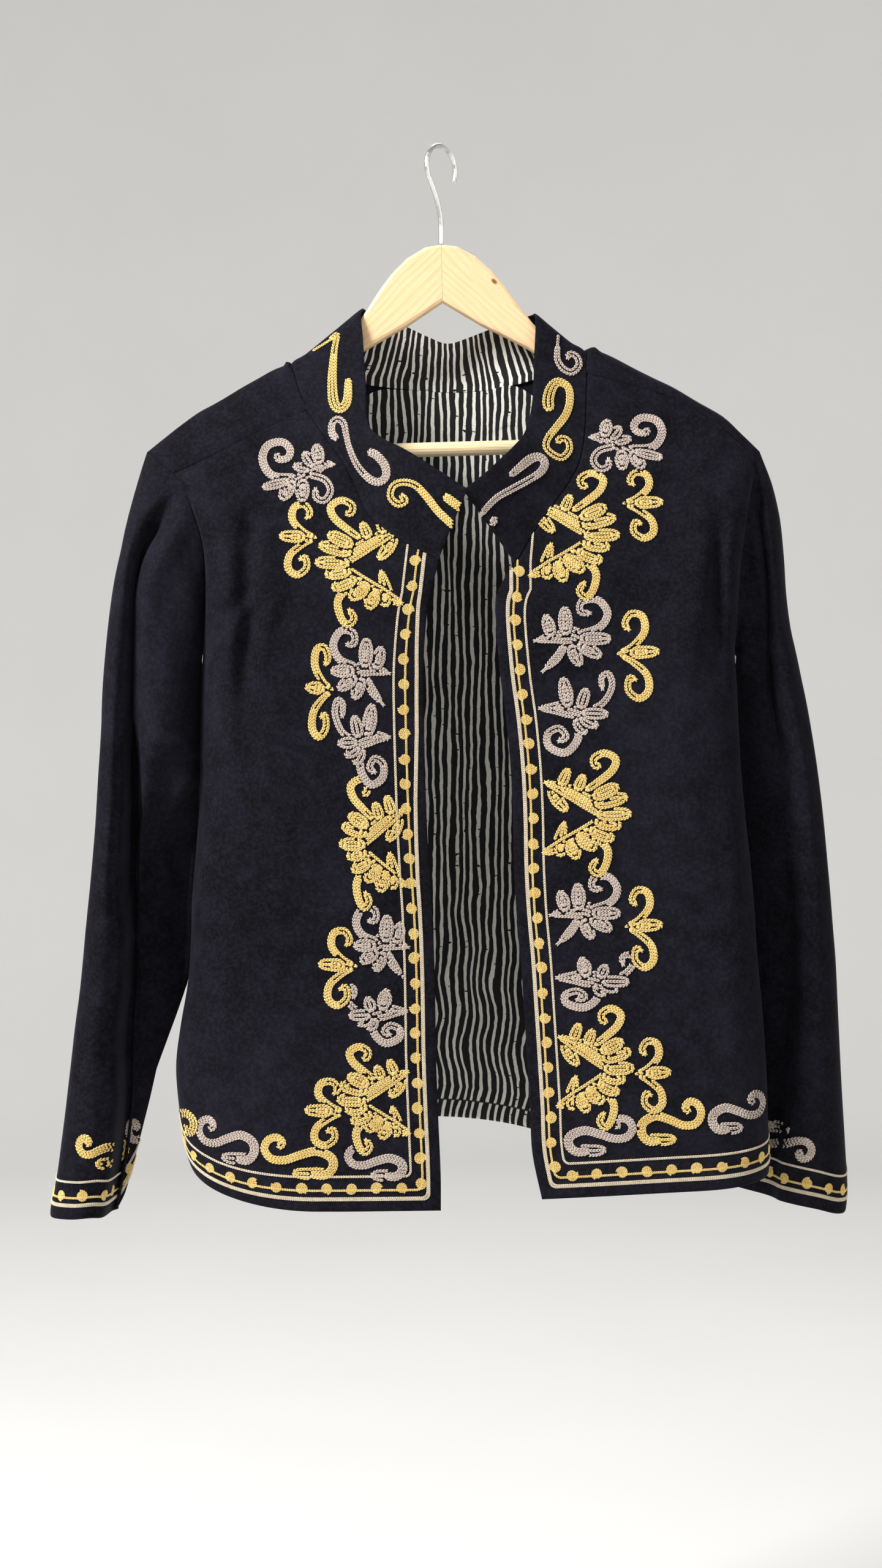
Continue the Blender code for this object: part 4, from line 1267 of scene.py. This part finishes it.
COLLAR_STROKES = (
    (GOLD, Stroke(((508, 558), (533, 543), (547, 533), (543, 560), (540, 610), (543, 648), (553, 660),
                   (565, 648), (567, 608)), (3.5, 4.5, 5.5, 7, 8, 7, 5.5))),
    (MAUVE, Stroke(((550, 712), (541, 702), (541, 685), (550, 678), (560, 686), (564, 704), (570, 728),
                    (583, 757), (602, 779), (618, 786), (630, 778), (629, 760), (615, 742), (600, 734)),
                   (6, 5.5, 4.5, 5, 6, 6.5, 6.5))),
    (GOLD, Stroke(((654, 808), (662, 818), (650, 823), (638, 811), (642, 794), (658, 788), (679, 794),
                   (698, 814), (714, 835), (730, 851), (748, 868)), (5.5, 5.5, 5.5, 5.5, 6, 6, 5.5))),
    (GOLD, Stroke(((725, 812), (763, 841)), (6.5, 6.5))),
    (MAUVE, Stroke(((915, 534), (913, 562), (914, 578), (924, 592), (938, 596), (949, 584), (946, 570),
                    (935, 565), (930, 574)), (4, 4.5, 5.5, 5.5, 5.5, 5))),
    (GOLD, Stroke(((899, 664), (897, 645), (903, 624), (915, 614), (931, 623), (933, 647), (926, 670),
                   (910, 692), (896, 711), (893, 727), (905, 739), (919, 743), (931, 730), (929, 714),
                   (917, 711), (911, 720)), (9, 8.5, 6, 6, 6, 5.5, 5.5, 5.5, 5.5))),
    (MAUVE, Stroke(((833, 777), (851, 761), (867, 748), (881, 744), (890, 753), (884, 768), (863, 783),
                    (834, 800), (811, 814), (794, 831), (785, 843)), (5, 7, 6.5, 5.5, 5.5, 5, 4.5))),
    (MAUVE, Stroke(((801, 850), (810, 855)), (9.5, 9.5))),
)


@dataclass(frozen=True)
class BorderLine:
    """A line of a border: its thread and its millimetres from the front edge, hem and cuff."""

    thread: Thread
    edge: float
    hem: float
    cuff: float
    size: float
    beads: bool = False


BORDER = (
    BorderLine(CREAM, 8.4, 8.4, 9.9, 0.66),
    BorderLine(CREAM, 9.7, 9.7, 11.2, 0.66),
    BorderLine(GOLD, 13.2, 15.2, 16.2, 0.72, beads=True),
    BorderLine(CREAM, 21.5, 25.0, 28.0, 0.76),
)
# How each front's border rises to the neck seam, in pixels right and up.
RIGHT_BORDER_TOP = ((9, 80),)
LEFT_BORDER_TOP = ((0, 45), (5, 100))
# Where each front's two outer lines run nearer to its edge: millimetres up, millimetres nearer.
RIGHT_BORDER_LEAN = ((235, 0), (295, 1.4), (340, 3.6), (385, 4.2), (420, 2.6), (460, 0))
LEFT_BORDER_LEAN = ((0, 0),)


class Needlework:
    """The embroidery of one cloth piece: raised chain stitches, thread by thread."""

    # The rows of links, and how near two strokes' links come to each other.
    ROW = 2.45 * MM
    LINK = 2.25 * MM
    CLEAR = 2.2 * MM
    # A grain's length, width and height, its place and slant in its link, and how these vary.
    GRAIN = (3.0 * MM, 1.06 * MM, 1.25 * MM)
    SPREAD = 0.5 * MM
    STANDS = 0.34
    TILT = math.radians(20)
    TILT_VARIES = math.radians(4)
    SWELLS = (0.92, 1.1)
    # A row's waver, and how far from the cloth its points may be.
    WAVER_STEP = 0.33
    WAVER_SEED = 90
    WAVER = 0.12 * MM
    BEADED_WAVER = 0.45 * MM
    OFF_CLOTH = 1.5 * MM
    # The border's rosettes.
    BEAD_LINK = 0.62
    BEAD_PITCH = 17.4 * MM
    BEAD_START = 0.5 * MM
    BEAD_RADIUS = 3.9 * MM
    BEAD_VARIES = (0.93, 1.05)
    BEAD_ASIDE = 1.3 * MM
    BEAD_TURNS = 2.6
    BEAD_POINTS = 80
    # The border's course: its corner, its stops at the seams and at the neck, and its points.
    CORNER = 4.0 * MM
    CORNER_POINTS = 6
    SEAM_STOP = 0.5 * MM
    LEVEL_ROW = 4
    NECK_ROW = 14
    NECK_STOP = 24.0 * MM
    RISE_PITCH = 2 * MM
    FRONT_POINTS = 110
    HEM_POINTS = 70
    BACK_HEM_POINTS = 160
    OUTER_LINES = 12.0
    # Where the cloth is looked at from, and the normal's Y past which it turns away.
    VIEW_Y = -0.4
    TURNED_AWAY = -0.33

    def __init__(self, name: str, cloth: Cloth, seed: int) -> None:
        """Starts with no stitches.

        Args:
            name: The start of its pieces' names.
            cloth: The cloth under the stitches.
            seed: Makes the stitches' small differences repeatable.
        """
        self.name = name
        self.cloth = cloth
        self.tree = cloth.tree()
        self.middle = cloth.points.reshape(-1, 3).mean(axis=0)
        self.chance = np.random.default_rng(seed)
        self.links: dict[Thread, list[tuple[Array, ...]]] = {thread: [] for thread in Thread}
        self.taken: dict[tuple[int, int], list[tuple[int, float, float]]] = {}
        self.stroke_count = 0

    def trail(
        self, thread: Thread, points: Array, size: float, sway: float = 0.0
    ) -> tuple[Array, ...]:
        """Lays one row of links along points on the cloth or near it.

        Args:
            thread: The thread.
            points: The points, in three dimensions.
            size: The links' size, as a share of a full one's.
            sway: How far the row wavers to each side.

        Returns:
            The links' places, directions, normals and sizes.
        """
        line = evenly(points, self.LINK * size)
        if sway:
            along = unit(np.gradient(line, axis=0))
            aside = unit(np.cross(along, line - self.middle + 1e-6))
            seed = float(line[0, 0]) * self.WAVER_SEED
            waver = [noise.noise(Vector((k * self.WAVER_STEP, seed, 0.5))) for k in range(len(line))]
            line = line + aside * (np.array(waver) * sway)[:, None]
        places, normals = [], []
        for point in line:
            place, normal, _, distance = self.tree.find_nearest(Vector(point))
            if distance < self.OFF_CLOTH:
                places.append(tuple(place))
                normals.append(tuple(normal))
        if len(places) < 2:
            return tuple(np.empty((0, 3)) for _ in range(4))
        spots = np.array(places)
        links = (spots, unit(np.gradient(spots, axis=0)), np.array(normals), np.full((len(spots), 1), size))
        self.links[thread].append(links)
        return links

    def fill(self, thread: Thread, stroke: Stroke, line: Array) -> None:
        """Fills a stroke seen from the front, except where earlier strokes lie.

        Args:
            thread: The thread.
            stroke: The stroke.
            line: Its middle line in metres.
        """
        self.stroke_count += 1
        for row in stroke.rows(line, self.ROW):
            flat = evenly(row, self.LINK)
            along = unit(np.gradient(flat, axis=0))
            found = [self._drop(*spot, *way) for spot, way in zip(flat, along) if self._claim(*spot)]
            kept = [link for link in found if link is not None]
            if kept:
                places, ways, normals = (np.array([link[k] for link in kept]) for k in range(3))
                self.links[thread].append((places, ways, normals, np.ones((len(kept), 1))))

    def _claim(self, x: float, z: float) -> bool:
        """Notes a spot for the present stroke, unless an earlier stroke is too near."""
        cell_x, cell_z = int(x // self.CLEAR), int(z // self.CLEAR)
        for near_x in (cell_x - 1, cell_x, cell_x + 1):
            for near_z in (cell_z - 1, cell_z, cell_z + 1):
                for owner, other_x, other_z in self.taken.get((near_x, near_z), ()):
                    if owner != self.stroke_count and math.hypot(x - other_x, z - other_z) < self.CLEAR:
                        return False
        self.taken.setdefault((cell_x, cell_z), []).append((self.stroke_count, x, z))
        return True

    def _seen_at(self, x: float, z: float) -> tuple[Any, Any]:
        """The cloth's place and normal at a spot seen from the front, or None twice."""
        return self.tree.ray_cast(Vector((x, self.VIEW_Y, z)), Vector((0, 1, 0)))[:2]

    def _drop(
        self, x: float, z: float, way_x: float, way_z: float
    ) -> tuple[Triple, Triple, Triple] | None:
        """Lays a link on the cloth's front where it is seen, or nowhere where the cloth turns away."""
        place, normal = self._seen_at(x, z)
        if place is None or normal.y > self.TURNED_AWAY:
            return None
        way = Vector((way_x, -(way_x * normal.x + way_z * normal.z) / normal.y, way_z)).normalized()
        return tuple(place), tuple(way), tuple(normal)

    def motifs(self, motifs: Sequence[Motif]) -> None:
        """Embroiders motifs, each one's straight petals before the arms that they grow from."""
        for motif in motifs:
            for stroke in sorted(DESIGNS[motif.design], key=lambda item: len(item.path) > 2):
                self.fill(motif.thread, stroke, motif.line(stroke))

    def strokes(self, strokes: Sequence[tuple[Thread, Stroke]]) -> None:
        """Embroiders single strokes whose paths are pixels."""
        for thread, stroke in strokes:
            self.fill(thread, stroke, np.array([seen(pixel) for pixel in stroke.path]))

    def beads(self, thread: Thread, links: tuple[Array, ...]) -> None:
        """Coils a rosette beside a row of links every bead pitch, on its inner side."""
        places, ways, normals, sizes = links
        if not len(places):
            return
        step = int(round(self.BEAD_PITCH / (self.LINK * sizes[0, 0])))
        for k in range(step // 2, len(places), step):
            aside = np.cross(normals[k], ways[k])
            if aside @ (self.middle - places[k]) < 0:
                aside = -aside
            centre = places[k] + aside * self.BEAD_ASIDE
            turn = self.chance.uniform(0, 2 * math.pi)
            angle = np.linspace(0, 2 * math.pi * self.BEAD_TURNS, self.BEAD_POINTS)
            outer = self.BEAD_RADIUS * self.chance.uniform(*self.BEAD_VARIES)
            radius = np.linspace(self.BEAD_START, outer, self.BEAD_POINTS)
            round_x = ways[k][None] * (np.cos(angle + turn) * radius)[:, None]
            round_y = aside[None] * (np.sin(angle + turn) * radius)[:, None]
            self.trail(thread, centre + round_x + round_y, self.BEAD_LINK)

    def front_border(self, top: Sequence[Pair], lean: Sequence[Pair]) -> None:
        """Runs the border down the front edge, round the corner and along the hem.

        Args:
            top: How the border rises to the neck seam, in pixels right and up from where the front
                edge is last straight.
            lean: How much nearer to the edge the outer lines run, by height, both in millimetres.
        """
        cloth = self.cloth
        tall = running_length(cloth.points[cloth.row_at <= self.NECK_ROW, 0])[-1] - self.NECK_STOP
        rise = evenly(np.array([(0.0, 0.0), *top]) * PIXEL, self.RISE_PITCH)[:0:-1]
        quarter = np.linspace(0, math.pi / 2, self.CORNER_POINTS)[1:-1]
        for line in BORDER:
            edge, hem = line.edge * MM, line.hem * MM
            nearer = np.array(lean) * MM if line.edge < self.OUTER_LINES else np.zeros((1, 2))
            heights = np.linspace(tall, hem + self.CORNER, self.FRONT_POINTS)
            down = list(zip(edge - np.interp(heights, nearer[:, 0], nearer[:, 1]), heights))
            bend = [
                (edge + self.CORNER * (1 - math.cos(a)), hem + self.CORNER * (1 - math.sin(a)))
                for a in quarter
            ]
            widths = np.linspace(edge + self.CORNER, self._hem_end(), self.HEM_POINTS)
            along = [(across, hem) for across in widths]
            points = np.array([cloth.locate(*place) for place in down + bend + along])
            hits = [self._seen_at(x, z)[0] for x, z in points[0, [0, 2]] + rise]
            past = [tuple(hit) for hit in hits if hit is not None]
            self._border_line(line, np.array(past + points.tolist()))

    def hem_border(self) -> None:
        """Runs the border along the first row."""
        widths = np.linspace(self.SEAM_STOP, self._hem_end(), self.BACK_HEM_POINTS)
        for line in BORDER:
            points = np.array([self.cloth.locate(x, line.hem * MM) for x in widths])
            self._border_line(line, points)

    def _hem_end(self) -> float:
        """Where a border along the hem stops, in metres from the first column."""
        return running_length(self.cloth.points[self.LEVEL_ROW])[-1] - self.SEAM_STOP

    def cuff_border(self) -> None:
        """Runs the border round the last row."""
        for line in BORDER:
            ring = []
            for column in self.cloth.points[::-1].transpose(1, 0, 2):
                lengths = running_length(column)
                ring.append([np.interp(line.cuff * MM, lengths, column[:, k]) for k in range(3)])
            self._border_line(line, np.array(ring + ring[:1]))

    def _border_line(self, line: BorderLine, points: Array) -> None:
        """Lays one line of the border and its rosettes."""
        waver = self.BEADED_WAVER if line.beads else self.WAVER
        links = self.trail(line.thread, points, line.size, waver)
        if line.beads:
            self.beads(line.thread, links)

    def build(self, threads: dict[Thread, bpy.types.Material]) -> list[bpy.types.Object]:
        """Makes a mesh of each thread's stitches.

        Args:
            threads: The threads' materials.

        Returns:
            The pieces.
        """
        made = []
        for thread, runs in self.links.items():
            if not runs:
                continue
            links = (np.concatenate([run[k] for run in runs]) for k in range(4))
            points, faces = self._grains(*links)
            mesh = bpy.data.meshes.new(f"{self.name}_{thread.value}")
            mesh.from_pydata(points.tolist(), [], faces.tolist())
            mesh.materials.append(threads[thread])
            mesh.shade_smooth()
            piece = placed(mesh.name, mesh)
            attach(piece, BODY)
            LOG.info("%s: %d triangles", mesh.name, len(faces))
            made.append(piece)
        return made

    def _grains(self, places: Array, ways: Array, normals: Array, sizes: Array) -> tuple[Array, Array]:
        """Two slanting grains of thread for each link, as a chain stitch shows.

        Args:
            places: The links' places.
            ways: Their directions.
            normals: The cloth's normals there.
            sizes: Their sizes.

        Returns:
            Points and triangles.
        """
        template, triangles = grain_template()
        aside = np.cross(normals, ways)
        count = len(places)
        blocks = []
        for side in (-1.0, 1.0):
            slant = side * self.TILT + self.chance.normal(0, self.TILT_VARIES, count)
            swell = self.chance.uniform(*self.SWELLS, count)[:, None] * sizes
            slanted = ways * np.cos(slant)[:, None] + aside * np.sin(slant)[:, None]
            length = slanted * self.GRAIN[0] * sizes
            width = unit(np.cross(normals, length)) * self.GRAIN[1] * swell
            height = normals * self.GRAIN[2] * swell
            raised = normals * self.GRAIN[2] * self.STANDS * sizes
            middle = places + aside * side * self.SPREAD * sizes + raised
            block = (
                middle[:, None] + template[None, :, :1] * length[:, None]
                + template[None, :, 1:2] * width[:, None] + template[None, :, 2:] * height[:, None]
            )
            blocks.append(block.reshape(-1, 3))
        points = np.concatenate(blocks)
        starts = np.arange(2 * count)[:, None, None] * len(template)
        return points, (triangles[None] + starts).reshape(-1, 3)


def grain_template() -> tuple[Array, Array]:
    """A grain of unit length, width and height: two squares and two tips.

    Returns:
        Points and triangles.
    """
    square = ((0.5, 0.0), (0.0, 0.5), (-0.5, 0.0), (0.0, -0.5))
    points = [(-0.5, 0.0, 0.0)] + [(x, y, z) for x in (-0.27, 0.27) for y, z in square] + [(0.5, 0.0, 0.0)]
    triangles = []
    for k in range(4):
        a, b = 1 + k, 1 + (k + 1) % 4
        triangles += [(0, b, a), (a, b, b + 4), (a, b + 4, a + 4), (9, a + 4, b + 4)]
    return np.array(points), np.array(triangles)


# Where the shoulders' necks sink under the collar, and where the collar's foot rises to them.
NECK_ENDS = ((468, 588), (960, 566))
NECK_DROP = 1.9 * MM
NECK_DROP_REACH = 8.0 * MM
COLLAR_FEET = ((481, 597), (949, 577))
FOOT_RISE = 2.4 * MM
FOOT_REACH = 7.0 * MM

# Where the sleeves rest against the body, in pixel rows: from, fully, to, clear. They are moved by
# SLEEVE_REACH at most, to lie SLEEVE_OVERLAP past the body's nearest point in a band of heights.
RIGHT_SLEEVE_MEETS = (930, 1040, 1590, 1760)
LEFT_SLEEVE_MEETS = (960, 1060, 1860, 1960)
SLEEVE_REACH = 9.0 * MM
SLEEVE_OVERLAP = 0.4 * MM
SLEEVE_BAND = 8 * MM
SLEEVE_EASE = 1.5


class Garment:
    """The jacket's cloth pieces."""

    # The shells' thicknesses.
    SHELL = 0.0016
    SLEEVE = 0.0010
    COTTON = 0.0007
    # How far the collar's foot stands out, how deep the shoulder seams lie and how the collar rolls.
    COLLAR_PROUD = 0.9 * MM
    SEAM_DIP = 0.0005
    COLLAR_ROLL = 0.0005
    # How far, in millimetres, the frame draws the pieces' edges back from their seams.
    FRONT_DRAWN = (0.0, 0.15, 0.0, 0.15)
    BACK_DRAWN = (0.0, 0.15, 0.45, 0.45)
    COLLAR_DRAWN = (2.1, 0.0, 0.0, 0.0)
    SLEEVE_DRAWN = (2.0, 0.0, 0.0, 0.0)

    def __init__(self, finishes: Finishes) -> None:
        """Reads the walls into fine grids of cloth.

        Args:
            finishes: The materials.
        """
        self.finishes = finishes
        self.right = Cloth(Wall("front_right", 17, (0, -0.05, -0.771), (-0.02, -0.052, -0.771),
                                (-0.02, 0.02, -0.5), drawn_back=self.FRONT_DRAWN), 5, 5)
        self.left = Cloth(Wall("front_left", 17, (0.072, -0.05, -0.763), (0.09, -0.052, -0.763),
                               (0.08, 0.02, -0.5), drawn_back=self.FRONT_DRAWN), 5, 5)
        self.back = Cloth(Wall("back", 31, (-0.189, 0.002, -0.732), (-0.18, 0.02, -0.732),
                               (0.02, -0.03, -0.5), drawn_back=self.BACK_DRAWN), 4, 4)
        self.collar = Cloth(Wall("collar", 31, (0, -0.04, -0.305), (-0.03, -0.038, -0.29),
                                 (0.008, 0.0, -0.2), drawn_back=self.COLLAR_DRAWN), 6, 5)
        self.sleeve_right = Cloth(Wall("sleeve_right", 21, (-0.216, 0.0, -0.225), (-0.19, -0.02, -0.24),
                                       (-0.225, 0.002, -0.5), ring=True,
                                       drawn_back=self.SLEEVE_DRAWN), 5, 5)
        self.sleeve_left = Cloth(Wall("sleeve_left", 21, (0.234, 0.0, -0.225), (0.22, -0.02, -0.24),
                                      (0.255, 0.015, -0.5), ring=True,
                                      drawn_back=self.SLEEVE_DRAWN), 5, 5)
        self.back_lining = Cloth(Wall("back_lining", 27, (-0.195, 0.0, -0.73), (-0.16, 0.02, -0.73),
                                      (0.02, -0.03, -0.5), thickness=0.001, facing=-1), 6, 5)
        self.collar_lining = Cloth(Wall("collar_lining", 8, (-0.0925, 0.0056, -0.1633),
                                        (-0.074, 0.015, -0.1675), (0.008, 0.0, -0.2), thickness=0.001,
                                        facing=-1), 6, 5)

    def shape(self) -> None:
        """Creases every piece and turns its hems."""
        for cloth, creases, ripple, seed in (
            (self.right, RIGHT_FRONT_CREASES, 1.1, 1.0),
            (self.left, LEFT_FRONT_CREASES, 1.1, 5.0),
            (self.back, BACK_CREASES, 1.4, 9.0),
            (self.sleeve_right, RIGHT_SLEEVE_CREASES, 1.2, 13.0),
            (self.sleeve_left, LEFT_SLEEVE_CREASES, 1.2, 17.0),
            (self.collar, (), 0.5, 21.0),
            (self.back_lining, LINING_CREASES, 0.8, 25.0),
        ):
            cloth.crease(creases, ripple, seed)
        body = (self.right, self.left, self.back)
        for cloth in body:
            cloth.settle(NECK_ENDS, NECK_DROP, NECK_DROP_REACH)
        for front in (self.right, self.left):
            front.hem(rows=(0,), columns=(0,))
        self.back.hem(rows=(0,))
        for sleeve in (self.sleeve_right, self.sleeve_left):
            sleeve.hem(rows=(-1,))
        self.collar.hem(rows=(-1,), columns=(0, -1), roll=self.COLLAR_ROLL)
        for cloth in body:
            cloth.hem(rows=(-1,), roll=self.SEAM_DIP)
        self._fill_between(self.sleeve_right, (self.right, self.back), 1, RIGHT_SLEEVE_MEETS)
        self._fill_between(self.sleeve_left, (self.left, self.back), -1, LEFT_SLEEVE_MEETS)
        neck = [self.right.points[:, 0], self.back.points[-1], self.left.points[:, 0]]
        self.collar.sew(neck, self.COLLAR_PROUD)
        self.collar.settle(COLLAR_FEET, -FOOT_RISE, FOOT_REACH)
        self.sleeve_right.sew([self.right.points[:, -1], self.back.points[:, 0]])
        self.sleeve_left.sew([self.left.points[:, -1], self.back.points[:, -1]])

    @staticmethod
    def _fill_between(sleeve: Cloth, body: Sequence[Cloth], side: int, meets: tuple[float, ...]) -> None:
        """Lets a sleeve rest against the body's side, as it hangs.

        Args:
            sleeve: The sleeve.
            body: The pieces beside it.
            side: The body's side of the sleeve: 1 towards +X.
            meets: Pixel rows of the photograph where it starts to meet the body, meets it fully,
                begins to leave it and has left it.
        """
        beside = np.concatenate([cloth.points.reshape(-1, 3) for cloth in body])
        knots = [float(seen((0, row))[1]) for row in meets]
        for row in sleeve.points:
            out = side * row[:, 0]
            level = row[np.argmax(out), 2]
            share = float(np.interp(level, knots[::-1], (0.0, 1.0, 1.0, 0.0)))
            near = beside[np.abs(beside[:, 2] - level) < SLEEVE_BAND]
            if share <= 0 or not len(near):
                continue
            gap = (side * near[:, 0]).min() + SLEEVE_OVERLAP - out.max()
            reach = float(np.clip(gap, 0, SLEEVE_REACH)) * share
            weight = np.clip((out - out.mean()) / (out.max() - out.mean()), 0, 1) ** SLEEVE_EASE
            row[:, 0] += side * reach * weight

    def embroider(self) -> dict[str, list[bpy.types.Object]]:
        """Stitches the borders and motifs.

        Returns:
            The embroidery's pieces by the cloth's node.
        """
        right = Needlework("right_front", self.right, seed=11)
        right.front_border(RIGHT_BORDER_TOP, RIGHT_BORDER_LEAN)
        right.motifs(RIGHT_FRONT_MOTIFS)
        left = Needlework("left_front", self.left, seed=11)
        left.front_border(LEFT_BORDER_TOP, LEFT_BORDER_LEAN)
        left.motifs(LEFT_FRONT_MOTIFS)
        works = [right, left]
        for name, cloth, motifs in (
            ("right_cuff", self.sleeve_right, RIGHT_CUFF_MOTIFS),
            ("left_cuff", self.sleeve_left, LEFT_CUFF_MOTIFS),
        ):
            work = Needlework(name, cloth, seed=23)
            work.cuff_border()
            work.motifs(motifs)
            works.append(work)
        hem = Needlework("back_hem", self.back, seed=31)
        hem.hem_border()
        collar = Needlework("collar", self.collar, seed=47)
        collar.strokes(COLLAR_STROKES)
        works += [hem, collar]
        return {work.cloth.wall.node: work.build(self.finishes.threads) for work in works}

    def build(self, embroidery: dict[str, list[bpy.types.Object]]) -> None:
        """Makes the shells and hides the walls that they replace.

        Args:
            embroidery: The pieces sewn on each, by node; not used.
        """
        velvet, cotton = self.finishes.velvet, self.finishes.cotton
        right_arm, left_arm = "hanger_arm_right", "hanger_arm_left"
        for cloth, name, thickness, outer, inner, rests_on in (
            (self.right, "right_front_cloth", self.SHELL, velvet, cotton, ["back_cloth"]),
            (self.left, "left_front_cloth", self.SHELL, velvet, cotton, ["back_cloth"]),
            (self.back, "back_cloth", self.SHELL, velvet, velvet, [right_arm, left_arm]),
            (self.sleeve_right, "right_sleeve_cloth", self.SLEEVE, velvet, velvet, ["back_cloth"]),
            (self.sleeve_left, "left_sleeve_cloth", self.SLEEVE, velvet, cotton, ["back_cloth"]),
            (self.collar, "collar_cloth", self.SHELL, velvet, velvet, [right_arm, left_arm]),
            (self.back_lining, "back_lining_cloth", self.COTTON, cotton, cotton, [right_arm, left_arm]),
            (self.collar_lining, "collar_lining_cloth", self.COTTON, cotton, cotton, ["collar_cloth"]),
        ):
            node = cloth.wall.node
            piece = cloth.build(name, thickness, outer, inner)
            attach(piece, BODY)
            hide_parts(node)
            cloth.cut()
            cloth.area()
            LOG.info("%s: cut %s, %.3f square metres", name, cloth.cut(), cloth.area())


class Studio:
    """The camera at the photograph's viewpoint, a pale round stage and soft light."""

    # The stage: a flat middle, a bend and an upright wall, in sides all round.
    FLOOR_Z = -1.25
    MIDDLE = 0.5
    RADIUS = 4.2
    BEND = 1.1
    BEND_STEPS = 12
    RISE = 3.4
    SIDES = 96
    # Where the lights point.
    AIM = (0.0, 0.0, -0.45)

    def build(self) -> None:
        """Makes the camera, the stage and the lights."""
        self._camera()
        self._bowl()
        self._lights()

    def _camera(self) -> None:
        """Places the camera level with the photograph's middle."""
        lens = bpy.data.cameras.new("camera")
        lens.sensor_fit = "VERTICAL"
        lens.sensor_height = SENSOR
        lens.lens = SENSOR * CAMERA_DISTANCE / (PHOTO_HEIGHT * PIXEL)
        camera = placed("camera", lens)
        camera.location = (0.0, -CAMERA_DISTANCE, CAMERA_Z)
        camera.rotation_euler = (math.pi / 2, 0.0, 0.0)
        bpy.context.scene.camera = camera

    def _bowl(self) -> None:
        """Makes a floor that curves up all round into a wall."""
        profile = [(self.MIDDLE, 0.0)]
        for k in range(self.BEND_STEPS + 1):
            angle = math.radians(90 / self.BEND_STEPS * k)
            out, up = self.BEND * math.sin(angle), self.BEND * math.cos(angle)
            profile.append((self.RADIUS - self.BEND + out, self.BEND - up))
        profile.append((self.RADIUS, self.RISE))
        sides = range(self.SIDES)
        points = [(0.0, 0.0, self.FLOOR_Z)]
        for radius, rise in profile:
            for k in sides:
                turn = 2 * math.pi * k / self.SIDES
                points.append((radius * math.cos(turn), radius * math.sin(turn), self.FLOOR_Z + rise))
        faces: list[tuple[int, ...]] = [(0, 1 + k, 1 + (k + 1) % self.SIDES) for k in sides]
        for i in range(len(profile) - 1):
            low, high = 1 + i * self.SIDES, 1 + (i + 1) * self.SIDES
            for k in sides:
                after = (k + 1) % self.SIDES
                faces.append((low + k, high + k, high + after, low + after))
        mesh = bpy.data.meshes.new("studio_floor")
        mesh.from_pydata(points, [], faces)
        mesh.shade_smooth()
        graph = Graph("studio_paper")
        grain = graph.cloud(graph.place(), 3.0, 2.0)
        mesh.materials.append(graph.finish(
            Base_Color=graph.blend(grain, (0.70, 0.69, 0.67), (0.74, 0.73, 0.71)), Roughness=0.95,
        ))
        placed("studio_floor", mesh)

    def _lights(self) -> None:
        """Adds a key from the upper left, a weak fill, a light from behind and the sky."""
        for name, place, size, power in (
            ("key", (-1.9, -1.25, 1.35), 0.9, 150.0),
            ("fill", (1.9, -1.7, 0.1), 2.2, 14.0),
            ("crown", (0.3, 1.6, 1.8), 2.2, 34.0),
        ):
            lamp = bpy.data.lights.new(name, "AREA")
            lamp.energy = power
            lamp.size = size
            light = placed(name, lamp)
            light.location = place
            aim = Vector(self.AIM) - Vector(place)
            light.rotation_euler = aim.to_track_quat("-Z", "Y").to_euler()
        world = bpy.data.worlds.new("sky")
        world.use_nodes = True
        back = world.node_tree.nodes["Background"]
        back.inputs["Color"].default_value = (0.93, 0.96, 1.0, 1.0)
        back.inputs["Strength"].default_value = 0.36
        bpy.context.scene.world = world
        bpy.context.scene.view_settings.view_transform = "Standard"


def dress_hanger(finishes: Finishes) -> None:
    """Gives the hanger's pieces their wood and metal.

    Args:
        finishes: The materials.
    """
    for node, material in (
        ("hanger_arm_right", finishes.pine_right),
        ("hanger_arm_left", finishes.pine_left),
        ("hanger_bar", finishes.dowel),
        ("hanger_hook", finishes.steel),
    ):
        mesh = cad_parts[node].data
        mesh.materials.clear()
        mesh.materials.append(material)


def main() -> None:
    """Builds everything in order."""
    logging.basicConfig(level=logging.INFO, format="%(name)s: %(message)s")
    Studio().build()
    finishes = Finishes()
    dress_hanger(finishes)
    garment = Garment(finishes)
    garment.shape()
    garment.build(garment.embroider())


if __name__ == "__main__":
    main()
